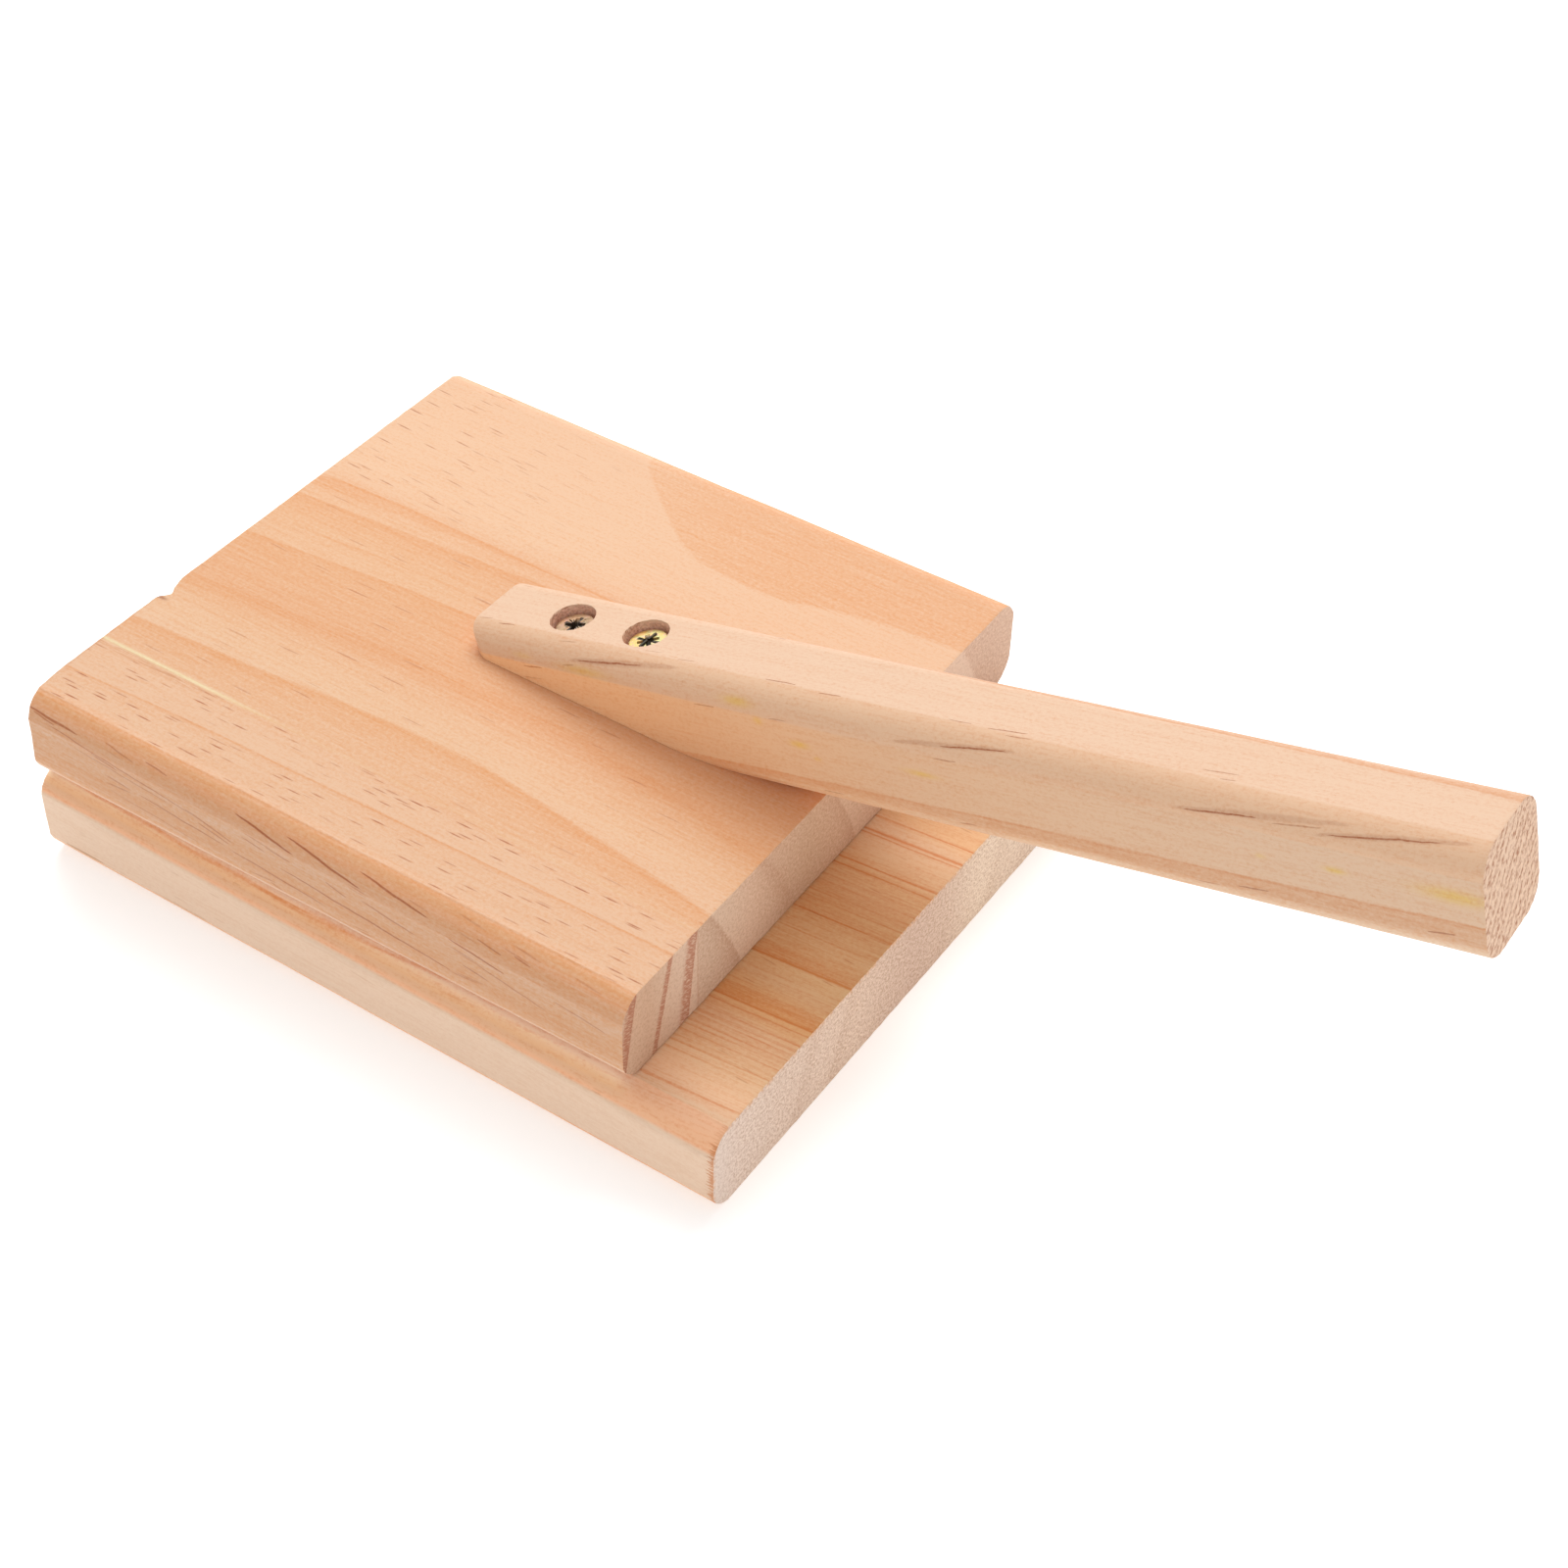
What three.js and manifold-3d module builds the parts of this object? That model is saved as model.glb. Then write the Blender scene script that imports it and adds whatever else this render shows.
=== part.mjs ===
// A hinged wooden hand press: two pine boards joined at one end by a pair of
// small butt hinges, with a square, rounded handle screwed to the upper board
// at a rising angle. Dough or butter laid between the boards is pressed flat
// by pushing the handle down.
//
// Millimetres, +Z up. Origin: centre of the base board's underside.
// +X runs along the grain from the hinges towards the handle's free end.
// Front is -Y, back is +Y.

import * as THREE from 'three';
import { mergeVertices } from 'three/addons/utils/BufferGeometryUtils.js';
import Module from 'manifold-3d';

const wasm = await Module();
wasm.setup();

const DEG = Math.PI / 180;
const vec = (x, y, z) => new THREE.Vector3(x, y, z);
const X_AXIS = vec(1, 0, 0);
const Y_AXIS = vec(0, 1, 0);
const Z_AXIS = vec(0, 0, 1);
const TOWARDS_HINGES = vec(-1, 0, 0);

// ---------------------------------------------------------------- dimensions

const BASE_LENGTH = 160;      // along the grain
const LID_LENGTH = 140;       // the upper board is shorter than the base
const BOARD_WIDTH = 134;      // across the grain, both boards
const BOARD_THICK = 20;
const BOARD_ROUND = 4.5;      // round-over of the four long edges
const BOARD_GAP = 0.2;        // air between the closed boards
const LID_YAW = 0.55 * DEG;   // the upper board's long edges against its hinge end
const LID_SAW_WASTE = 6;      // extra length sawn off the upper board at the hinge end

const HINGE_END = -BASE_LENGTH / 2;          // x of both hinge-end faces
const BOARD_FRONT = -BOARD_WIDTH / 2;
const PART_Z = BOARD_THICK + BOARD_GAP / 2;  // height of the parting line
const LID_Z0 = BOARD_THICK + BOARD_GAP;
const LID_Z1 = LID_Z0 + BOARD_THICK;

// Break-out on the upper board's hinge-end top edge: its height, and its
// outline in plan as [x from the hinge end, y].
const CHIP_HEIGHT = 4.2;
const CHIP_OUTLINE = [
  [-3, -29.6], [0.05, -29.6], [1.75, -27.5], [0.875, -25.8],
  [0.25, -22.6], [0, -21], [-3, -21],
];

const HANDLE_WIDTH = 21;
const HANDLE_HEIGHT = 22.4;
const HANDLE_ROUND = 5;
const HANDLE_RISE = 14.45 * DEG;
const HANDLE_END = vec(182.44, 2.87, 86.17);  // centre of the free end's face
const HANDLE_TIP_TOP_X = -20.5;               // where the top face ends, at the thin end
const TIP_ROUND_FRONT = 4.5;                  // corners of the thin end, in plan
const TIP_ROUND_BACK = 3;
const HANDLE_SEAT_GAP = 0.08;                 // between the slant cut and the upper board

const COUNTERBORE_R = 4.55;
const COUNTERBORE_DEPTH = 3;
const HEAD_DEPTH = 1.7;                       // screw head below the handle's top face

// x where each screw axis leaves the handle's top face, and the turn of its recess.
const HANDLE_SCREWS = [
  { name: 'handle_screw_inner', x: HINGE_END + 78.37, turn: 18 * DEG },
  { name: 'handle_screw_outer', x: HINGE_END + 95.65, turn: 40 * DEG },
];

// rim: cylindrical edge of the head. slot: one arm-pair of the cross recess.
const HANDLE_SCREW = {
  length: 25, headR: 3.8, rim: 0.35,
  coreR: 1.25, threadR: 2, pitch: 1.8,
  slot: { length: 4.4, width: 0.95, depth: 1.7 },
};
const HINGE_SCREW = {
  length: 12, headR: 2.7, rim: 0.15,
  coreR: 0.95, threadR: 1.5, pitch: 1.5,
  slot: { length: 3, width: 0.7, depth: 0.9 },
};

const HINGES = [
  { side: 'front', y: -38 },
  { side: 'back', y: 38 },
];
const LEAF_LENGTH = 38;       // along the pin
const LEAF_REACH = 13;        // from the pin's axis to the leaf's free edge
const LEAF_THICK = 1;
const LEAF_ROUND = 1.6;       // corners of the free edge
const PIN_R = 1.25;
const PIN_HEAD_R = 1.75;
const PIN_HEAD_END_R = 1.25;  // flat end of a chamfered pin head
const KNUCKLE_BORE_R = 1.34;
const KNUCKLE_R = KNUCKLE_BORE_R + LEAF_THICK;
const KNUCKLE_COUNT = 3;
const KNUCKLE_GAP = 0.2;      // end play between knuckles
const CURL_END = -62 * DEG;   // where the curl stops, round the pin
const CURL_TAIL_Z = 9 - LEAF_REACH;  // the curl's tail overlaps the plate
const PLATE_TOP_Z = -3.4;
const LEAF_GAP = 0.06;        // between a leaf and the board's end face
const LEAF_SCREW_OFFSETS = [-12, 12];  // along the leaf, from its middle
const LEAF_SCREW_Z = 7.8;     // from the pin's axis
const PIN_X = HINGE_END - LEAF_GAP - KNUCKLE_R;
const LEAF_FACE_X = KNUCKLE_R - LEAF_THICK;  // exposed face, from the pin's axis

// ----------------------------------------------------------------- materials

const metal = (color, roughness) =>
  new THREE.MeshStandardMaterial({ color, roughness, metalness: 0.9 });
const wood = (color, roughness) =>
  new THREE.MeshStandardMaterial({ color, roughness, metalness: 0 });

const PINE_LID = wood(0xf0bf94, 0.62);
const PINE_BASE = wood(0xe6bd8e, 0.64);
const PINE_HANDLE = wood(0xf3caa2, 0.68);
const YELLOW_ZINC = metal(0xc9b46a, 0.34);
const HINGE_STEEL = metal(0xb9a468, 0.38);

// ------------------------------------------------------------------- helpers

// Welds a closed geometry into a Manifold solid, with its faces turned outwards.
function solid(geometry) {
  geometry.deleteAttribute('normal');
  geometry.deleteAttribute('uv');
  const welded = mergeVertices(geometry, 1e-4);
  const position = welded.attributes.position;
  const index = welded.index.array;
  const triangles = [];
  const corners = [vec(), vec(), vec()];
  let volume = 0;
  for (let i = 0; i < index.length; i += 3) {
    const triangle = [index[i], index[i + 1], index[i + 2]];
    if (new Set(triangle).size < 3) continue;
    triangles.push(...triangle);
    corners.forEach((corner, k) => corner.fromBufferAttribute(position, triangle[k]));
    volume += corners[0].dot(corners[1].cross(corners[2])) / 6;
  }
  if (volume < 0) {
    for (let i = 0; i < triangles.length; i += 3) {
      [triangles[i + 1], triangles[i + 2]] = [triangles[i + 2], triangles[i + 1]];
    }
  }
  return new wasm.Manifold(new wasm.Mesh({
    numProp: 3,
    vertProperties: new Float32Array(position.array),
    triVerts: new Uint32Array(triangles),
  }));
}

function geometryOf(body) {
  const mesh = body.getMesh();
  const geometry = new THREE.BufferGeometry();
  geometry.setAttribute('position', new THREE.BufferAttribute(mesh.vertProperties, 3));
  geometry.setIndex(new THREE.BufferAttribute(mesh.triVerts, 1));
  const merged = mergeVertices(geometry, 1e-5);
  merged.computeVertexNormals();
  return merged;
}

// A rectangle centred on (centreX, centreY) with all corners rounded.
function roundedRect(centreX, centreY, width, height, r) {
  const x0 = centreX - width / 2;
  const x1 = centreX + width / 2;
  const y0 = centreY - height / 2;
  const y1 = centreY + height / 2;
  const shape = new THREE.Shape();
  shape.moveTo(x0 + r, y0);
  shape.lineTo(x1 - r, y0);
  shape.absarc(x1 - r, y0 + r, r, -Math.PI / 2, 0, false);
  shape.lineTo(x1, y1 - r);
  shape.absarc(x1 - r, y1 - r, r, 0, Math.PI / 2, false);
  shape.lineTo(x0 + r, y1);
  shape.absarc(x0 + r, y1 - r, r, Math.PI / 2, Math.PI, false);
  shape.lineTo(x0, y0 + r);
  shape.absarc(x0 + r, y0 + r, r, Math.PI, 1.5 * Math.PI, false);
  return shape;
}

const extrude = (shape, depth, curveSegments = 6) =>
  new THREE.ExtrudeGeometry(shape, { depth, bevelEnabled: false, curveSegments, steps: 1 });

// Sends a shape's x, its y and its extrusion to the given directions.
function placed(geometry, xTo, yTo, depthTo, origin) {
  const matrix = new THREE.Matrix4().makeBasis(xTo, yTo, depthTo);
  return geometry.applyMatrix4(matrix.setPosition(origin));
}

// A body of revolution given as [radius, height] pairs, standing on +Z.
function turned(profile, segments) {
  const points = profile.map(([radius, height]) => new THREE.Vector2(radius, height));
  return new THREE.LatheGeometry(points, segments).rotateX(Math.PI / 2);
}

// Turns a +Z body so that its axis points along direction, with its origin at point.
function aimed(geometry, direction, point) {
  geometry.applyQuaternion(new THREE.Quaternion().setFromUnitVectors(Z_AXIS, direction));
  return geometry.translate(point.x, point.y, point.z);
}

function piece(name, geometry, material) {
  const mesh = new THREE.Mesh(geometry, material);
  mesh.name = name;
  return mesh;
}

// -------------------------------------------------------------------- screws

// A countersunk wood screw along -Z, its head's flat top at z = 0, with a cross recess.
// Rings of the thread's profile stand for the helical thread.
function screwGeometry({ length, headR, rim, coreR, threadR, pitch, slot }, segments) {
  const coneEnd = -rim - (headR - threadR);
  const tipStart = -length + 4.2;
  let z = coneEnd - 0.5;
  const profile = [[0, 0], [headR, 0], [headR, -rim], [threadR, coneEnd], [coreR, z]];
  while (z - pitch > tipStart) {
    profile.push([threadR, z - pitch * 0.62], [coreR, z - pitch]);
    z -= pitch;
  }
  profile.push(
    [coreR, tipStart],
    [coreR * 1.15, -length + 2.6],
    [coreR * 0.6, -length + 1.8],
    [0, -length],
  );
  let body = solid(turned(profile, segments));
  for (const turn of [0, Math.PI / 2]) {
    // A tapered square wedge; its top stands proud of the head.
    const wedge = new THREE.CylinderGeometry(1, 0.45, 1, 4, 1);
    wedge.rotateY(Math.PI / 4);
    wedge.rotateX(Math.PI / 2);
    wedge.scale(slot.length / Math.SQRT2, slot.width / Math.SQRT2, slot.depth * 1.2);
    wedge.translate(0, 0, -slot.depth * 0.4);
    wedge.rotateZ(turn);
    body = body.subtract(solid(wedge));
  }
  return geometryOf(body);
}

// A screw whose head faces along direction, turned about its own axis.
function screwPiece(name, geometry, point, direction, turn) {
  const mesh = piece(name, geometry, YELLOW_ZINC);
  mesh.position.copy(point);
  mesh.quaternion.setFromUnitVectors(Z_AXIS, direction);
  mesh.rotateZ(turn);
  return mesh;
}

// -------------------------------------------------------------------- hinges

// Section of the lower leaf's curl, in (x, z) about the pin's axis:
// a tail hangs down beside the plate and the curl wraps round the pin.
function curlShape() {
  const end = 2 * Math.PI + CURL_END;
  const shape = new THREE.Shape();
  shape.moveTo(KNUCKLE_R, CURL_TAIL_Z);
  shape.lineTo(KNUCKLE_R, 0);
  shape.absarc(0, 0, KNUCKLE_R, 0, end, false);
  shape.lineTo(KNUCKLE_BORE_R * Math.cos(CURL_END), KNUCKLE_BORE_R * Math.sin(CURL_END));
  shape.absarc(0, 0, KNUCKLE_BORE_R, end, 0, true);
  shape.lineTo(LEAF_FACE_X, CURL_TAIL_Z);
  shape.closePath();
  return shape;
}

// Outline of a leaf's plate, in (y, z), with its lower corners rounded.
function plateShape() {
  const r = LEAF_ROUND;
  const half = LEAF_LENGTH / 2;
  const shape = new THREE.Shape();
  shape.moveTo(-half, PLATE_TOP_Z);
  shape.lineTo(-half, -LEAF_REACH + r);
  shape.absarc(-half + r, -LEAF_REACH + r, r, Math.PI, 1.5 * Math.PI, false);
  shape.lineTo(half - r, -LEAF_REACH);
  shape.absarc(half - r, -LEAF_REACH + r, r, 1.5 * Math.PI, 2 * Math.PI, false);
  shape.lineTo(half, PLATE_TOP_Z);
  shape.closePath();
  return shape;
}

// Countersunk hole in a leaf.
function leafHole(y) {
  const mouthR = HINGE_SCREW.headR + 0.12;
  const profile = [
    [0, 0.4], [mouthR + 0.4, 0.4], [mouthR, 0], [mouthR, -HINGE_SCREW.rim],
    [1.75, -1.1], [1.75, -1.6], [0, -1.6],
  ];
  return solid(aimed(turned(profile, 20), TOWARDS_HINGES, vec(LEAF_FACE_X, y, -LEAF_SCREW_Z)));
}

// One leaf in the hinge's own frame: pin along Y, plate at +X, hanging towards -Z.
// Knuckles are numbered from the front.
function leafSolid(knuckles) {
  const pitch = LEAF_LENGTH / KNUCKLE_COUNT;
  const plate = extrude(plateShape(), LEAF_THICK, 4);
  let body = solid(placed(plate, Y_AXIS, Z_AXIS, X_AXIS, vec(LEAF_FACE_X, 0, 0)));
  for (const k of knuckles) {
    const frontGap = k > 0 ? KNUCKLE_GAP / 2 : 0;
    const backGap = k < KNUCKLE_COUNT - 1 ? KNUCKLE_GAP / 2 : 0;
    const front = -LEAF_LENGTH / 2 + k * pitch + frontGap;
    const back = -LEAF_LENGTH / 2 + (k + 1) * pitch - backGap;
    const curl = extrude(curlShape(), back - front, 20);
    body = body.add(solid(placed(curl, X_AXIS, Z_AXIS, vec(0, -1, 0), vec(0, back, 0))));
  }
  for (const y of LEAF_SCREW_OFFSETS) body = body.subtract(leafHole(y));
  return body;
}

// The pin along Y, with a chamfered head at each end.
function pinSolid() {
  const half = LEAF_LENGTH / 2;
  const backHalf = [
    [PIN_R, half + 0.12],
    [PIN_HEAD_R, half + 0.12],
    [PIN_HEAD_R, half + 0.45],
    [PIN_HEAD_END_R, half + 0.85],
    [0, half + 0.85],
  ];
  const frontHalf = backHalf.map(([radius, height]) => [radius, -height]).reverse();
  return solid(turned([...frontHalf, ...backHalf], 24).rotateX(-Math.PI / 2));
}

// -------------------------------------------------------------------- handle

const along = vec(Math.cos(HANDLE_RISE), 0, Math.sin(HANDLE_RISE));
const up = vec(-Math.sin(HANDLE_RISE), 0, Math.cos(HANDLE_RISE));

// The top face's centre line at the free end, and its length to the thin end.
const topAtEnd = HANDLE_END.clone().addScaledVector(up, HANDLE_HEIGHT / 2);
const HANDLE_LENGTH = (topAtEnd.x - HANDLE_TIP_TOP_X) / along.x;

// The point of the handle's top face at this x, on the centre line.
const topPoint = (x) => topAtEnd.clone().addScaledVector(along, (x - topAtEnd.x) / along.x);

// Plan of the handle, as (along, across) from its free end. Only the thin end
// trims the bar; the other sides lie outside it.
function handlePlan() {
  const side = HANDLE_WIDTH / 2;
  const margin = 2;
  const freeEnd = 5;
  const backX = -HANDLE_LENGTH + TIP_ROUND_BACK;
  const frontX = -HANDLE_LENGTH + TIP_ROUND_FRONT;
  const frontY = -side + TIP_ROUND_FRONT;
  const shape = new THREE.Shape();
  shape.moveTo(freeEnd, -side - margin);
  shape.lineTo(freeEnd, side + margin);
  shape.lineTo(backX, side + margin);
  shape.lineTo(backX, side);
  shape.absarc(backX, side - TIP_ROUND_BACK, TIP_ROUND_BACK, Math.PI / 2, Math.PI, false);
  shape.lineTo(-HANDLE_LENGTH, frontY);
  shape.absarc(frontX, frontY, TIP_ROUND_FRONT, Math.PI, 1.5 * Math.PI, false);
  shape.lineTo(frontX, -side - margin);
  shape.closePath();
  return shape;
}

// Counterbore with a tapered seat, then a clearance hole through the handle.
function handleBore(x) {
  const depth = COUNTERBORE_DEPTH;
  const profile = [
    [0, 2], [COUNTERBORE_R, 2], [COUNTERBORE_R, -depth], [3.05, -depth],
    [2.15, -depth - 0.95], [2.15, -30], [0, -30],
  ];
  return solid(aimed(turned(profile, 28), up, topPoint(x)));
}

function handleSolid() {
  const barLength = HANDLE_LENGTH + 10;  // overlong at the thin end, trimmed by the plan
  const barStart = HANDLE_END.clone().addScaledVector(along, -barLength);
  const section = roundedRect(0, 0, HANDLE_WIDTH, HANDLE_HEIGHT, HANDLE_ROUND);
  const bar = placed(extrude(section, barLength), Y_AXIS, up, along, barStart);

  const planDepth = 60;
  const planStart = HANDLE_END.clone().addScaledVector(up, -planDepth / 2);
  const plan = placed(extrude(handlePlan(), planDepth), along, Y_AXIS, up, planStart);

  // Slant cut: the underside of the thin end lies flat on the upper board.
  const seat = new THREE.BoxGeometry(500, 200, 100);
  seat.translate(0, 0, LID_Z1 + HANDLE_SEAT_GAP - 50);

  let body = solid(bar).intersect(solid(plan)).subtract(solid(seat));
  for (const { x } of HANDLE_SCREWS) body = body.subtract(handleBore(x));
  return body;
}

// -------------------------------------------------------------------- boards

// A board with its four long edges rounded, from the given low corner.
function board(x, y, z, length) {
  const centreY = y + BOARD_WIDTH / 2;
  const centreZ = z + BOARD_THICK / 2;
  const section = roundedRect(centreY, centreZ, BOARD_WIDTH, BOARD_THICK, BOARD_ROUND);
  return placed(extrude(section, length), Y_AXIS, Z_AXIS, X_AXIS, vec(x, 0, 0));
}

// Drills the pilot holes for the hinge screws into a hinge-end face, along +X.
function drillHingePilots(body, z) {
  const profile = [[0, 1], [2.1, 1], [2.1, -0.55], [1.66, -0.95], [1.66, -10.4], [0, -11.9]];
  let drilled = body;
  for (const hinge of HINGES) {
    for (const offset of LEAF_SCREW_OFFSETS) {
      const mouth = vec(HINGE_END, hinge.y + offset, z);
      drilled = drilled.subtract(solid(aimed(turned(profile, 16), TOWARDS_HINGES, mouth)));
    }
  }
  return drilled;
}

function baseSolid() {
  const body = solid(board(HINGE_END, BOARD_FRONT, 0, BASE_LENGTH));
  return drillHingePilots(body, PART_Z - LEAF_SCREW_Z);
}

function chipSolid() {
  const shape = new THREE.Shape(CHIP_OUTLINE.map(([x, y]) => new THREE.Vector2(x, y)));
  shape.closePath();
  const chip = extrude(shape, CHIP_HEIGHT + 1);
  return solid(chip.translate(HINGE_END, 0, LID_Z1 - CHIP_HEIGHT));
}

// Pilot hole with a conical end, on the axis of a handle screw.
function handlePilot(x) {
  const depth = HEAD_DEPTH + HANDLE_SCREW.length + 0.4;
  const top = -COUNTERBORE_DEPTH;
  const profile = [[0, top], [2.12, top], [2.12, -depth + 3], [0, -depth]];
  return solid(aimed(turned(profile, 16), up, topPoint(x)));
}

// The upper board starts long, is turned about its front hinge-end corner
// and is sawn off square at the hinge end.
function lidSolid() {
  const blank = board(-LID_SAW_WASTE, 0, LID_Z0, LID_LENGTH + LID_SAW_WASTE);
  blank.rotateZ(LID_YAW);
  blank.translate(HINGE_END, BOARD_FRONT, 0);
  const sawOff = new THREE.BoxGeometry(40, 400, 100).translate(HINGE_END - 20, 0, 30);
  let body = solid(blank).subtract(solid(sawOff));
  body = drillHingePilots(body, PART_Z + LEAF_SCREW_Z).subtract(chipSolid());
  for (const { x } of HANDLE_SCREWS) body = body.subtract(handlePilot(x));
  return body;
}

// ------------------------------------------------------------------ assembly

const press = new THREE.Group();
const baseGroup = new THREE.Group();
const lidGroup = new THREE.Group();
press.add(baseGroup, lidGroup);

baseGroup.add(piece('base_board', geometryOf(baseSolid()), PINE_BASE));
lidGroup.add(piece('upper_board', geometryOf(lidSolid()), PINE_LID));
lidGroup.add(piece('handle', geometryOf(handleSolid()), PINE_HANDLE));

const handleScrew = screwGeometry(HANDLE_SCREW, 18);
for (const { name, x, turn } of HANDLE_SCREWS) {
  const point = topPoint(x).addScaledVector(up, -HEAD_DEPTH);
  lidGroup.add(screwPiece(name, handleScrew, point, up, turn));
}

const lowerLeaf = geometryOf(leafSolid([0, 2]));
const upperLeaf = geometryOf(leafSolid([1]).mirror([0, 0, 1]));
const hingePin = geometryOf(pinSolid());
const hingeScrew = screwGeometry(HINGE_SCREW, 12);

// Adds a hinge leaf's screws to its group; screwZ is measured from the pin's axis.
function addLeafScrews(group, prefix, screwZ, firstTurn) {
  LEAF_SCREW_OFFSETS.forEach((y, k) => {
    const point = vec(LEAF_FACE_X + 0.02, y, screwZ);
    const turn = (firstTurn + 37 * k) * DEG;
    const name = `${prefix}_screw_${k + 1}`;
    group.add(screwPiece(name, hingeScrew, point, TOWARDS_HINGES, turn));
  });
}

for (const { side, y } of HINGES) {
  const lower = new THREE.Group();
  const upper = new THREE.Group();
  for (const group of [lower, upper]) group.position.set(PIN_X, y, PART_Z);
  lower.add(piece(`${side}_hinge_lower_leaf`, lowerLeaf, HINGE_STEEL));
  lower.add(piece(`${side}_hinge_pin`, hingePin, HINGE_STEEL));
  upper.add(piece(`${side}_hinge_upper_leaf`, upperLeaf, HINGE_STEEL));
  addLeafScrews(lower, `${side}_hinge_lower`, -LEAF_SCREW_Z, 25);
  addLeafScrews(upper, `${side}_hinge_upper`, LEAF_SCREW_Z, 45);
  baseGroup.add(lower);
  lidGroup.add(upper);
}

export default press;
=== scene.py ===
# A small hinged wooden press: a base board, an upper board joined to it by two hinges at the
# low-x end, and a slanted handle screwed to the upper board. x runs from the hinges to the
# handle's free end, y from front to back, z up. The floor lies at z = 0.
import math
from functools import reduce
from operator import add

import bpy
import bmesh
import numpy as np
from mathutils import Matrix, Vector, noise


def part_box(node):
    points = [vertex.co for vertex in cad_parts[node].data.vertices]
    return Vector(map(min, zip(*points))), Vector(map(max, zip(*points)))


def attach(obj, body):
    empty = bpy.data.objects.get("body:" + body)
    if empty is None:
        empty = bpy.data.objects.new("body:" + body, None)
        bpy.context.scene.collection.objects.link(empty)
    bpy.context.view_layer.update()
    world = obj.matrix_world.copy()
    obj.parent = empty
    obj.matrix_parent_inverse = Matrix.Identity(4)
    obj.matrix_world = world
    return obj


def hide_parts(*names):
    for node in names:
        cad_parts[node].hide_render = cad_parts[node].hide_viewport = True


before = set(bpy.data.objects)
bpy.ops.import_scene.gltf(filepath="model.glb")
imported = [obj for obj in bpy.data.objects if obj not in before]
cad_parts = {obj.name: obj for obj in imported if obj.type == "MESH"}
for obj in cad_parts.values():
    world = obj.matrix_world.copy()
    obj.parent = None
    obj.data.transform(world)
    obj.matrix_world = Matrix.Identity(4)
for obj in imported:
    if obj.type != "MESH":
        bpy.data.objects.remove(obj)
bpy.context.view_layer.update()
MM = 0.001


def box_mm(node):
    low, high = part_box(node)
    return np.array(low) * 1000, np.array(high) * 1000


# ---- driving dimensions, in mm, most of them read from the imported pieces
base_lo, base_hi = box_mm("base_board")
lid_lo, lid_hi = box_mm("upper_board")
handle_lo, handle_hi = box_mm("handle")
BASE_L, BASE_W, BASE_T = base_hi - base_lo
LID_L, LID_W, LID_T = 140.0, BASE_W, lid_hi[2] - lid_lo[2]
YAW = math.radians(0.55)       # turn of the upper board about z
ROUND = 4.5                    # radius of the boards' long edges
RIDGE = 1.5                    # offset of that radius's centre, which leaves a faint ridge
END_ROWS = (0.35, 0.9, 1.8, 3.2)

RISE = math.radians(14.45)     # slope of the handle
HANDLE_W, HANDLE_H, HANDLE_R = 21.0, 22.4, 5.0
AXIS = np.array([math.cos(RISE), 0, math.sin(RISE)])     # along the handle, to its free end
UP = np.array([-math.sin(RISE), 0, math.cos(RISE)])      # square to its top face
TOP_END = np.array([handle_hi[0] - HANDLE_H * math.sin(RISE),
                    (handle_lo[1] + handle_hi[1]) / 2, handle_hi[2]])
END_CENTRE = TOP_END - UP * HANDLE_H / 2                 # centre of the free end's face
TIP_TOP_X = -20.5
HANDLE_L = (TOP_END[0] - TIP_TOP_X) / math.cos(RISE)
TIP_SPARE = 8.0                # the lattice runs this far past the thin end, which is cut off
SEAT_Z = handle_lo[2]


# ---------------------------------------------------------------- mesh tools
def fbm(place, octaves):
    return noise.fractal(Vector(place), 1.0, 2.0, octaves, noise_basis="PERLIN_ORIGINAL")


def spread(length, step, fine):
    """Coordinates from 0 to length, about `step` apart, with rows `fine` in from each end."""
    low, high = max(fine), length - max(fine)
    count = max(1, int(round((high - low) / step)))
    rows = [0, length, *fine, *(length - x for x in fine), *np.linspace(low, high, count + 1)]
    return np.array(sorted({round(x, 6) for x in rows}))


def corner_rows(width, radius, step, count=7):
    """Rows across a side rounded at both ends: even angles round each corner."""
    lip = 0.18
    inset = [radius - radius * math.tan(angle) for angle in np.linspace(0, math.pi / 4, count)]
    inset += [radius + lip, radius - lip, 0.35]
    spaces = max(1, int(round((width - 2 * radius - 2 * lip) / step)))
    middle = np.linspace(radius + lip, width - radius - lip, spaces + 1)
    rows = [*inset, *(width - x for x in inset), *middle]
    return np.array(sorted({round(x, 5) for x in rows}))


def lattice(xs, ys, zs):
    """Closed skin of a box lattice: its points, its quads facing out, and each point's cell."""
    skin = np.zeros((len(xs), len(ys), len(zs)), bool)
    skin[[0, -1]] = True
    skin[:, [0, -1]] = True
    skin[:, :, [0, -1]] = True
    cells = np.argwhere(skin)
    index = np.full(skin.shape, -1)
    index[tuple(cells.T)] = np.arange(len(cells))
    points = np.stack([xs[cells[:, 0]], ys[cells[:, 1]], zs[cells[:, 2]]], 1)
    quads = []
    for grid, flip in ((index[0], True), (index[-1], False), (index[:, 0], False),
                       (index[:, -1], True), (index[:, :, 0], True), (index[:, :, -1], False)):
        corners = [grid[:-1, :-1], grid[1:, :-1], grid[1:, 1:], grid[:-1, 1:]]
        sheet = np.stack(corners, -1).reshape(-1, 4)
        quads.append(sheet[:, ::-1] if flip else sheet)
    return points, np.concatenate(quads), cells


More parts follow.
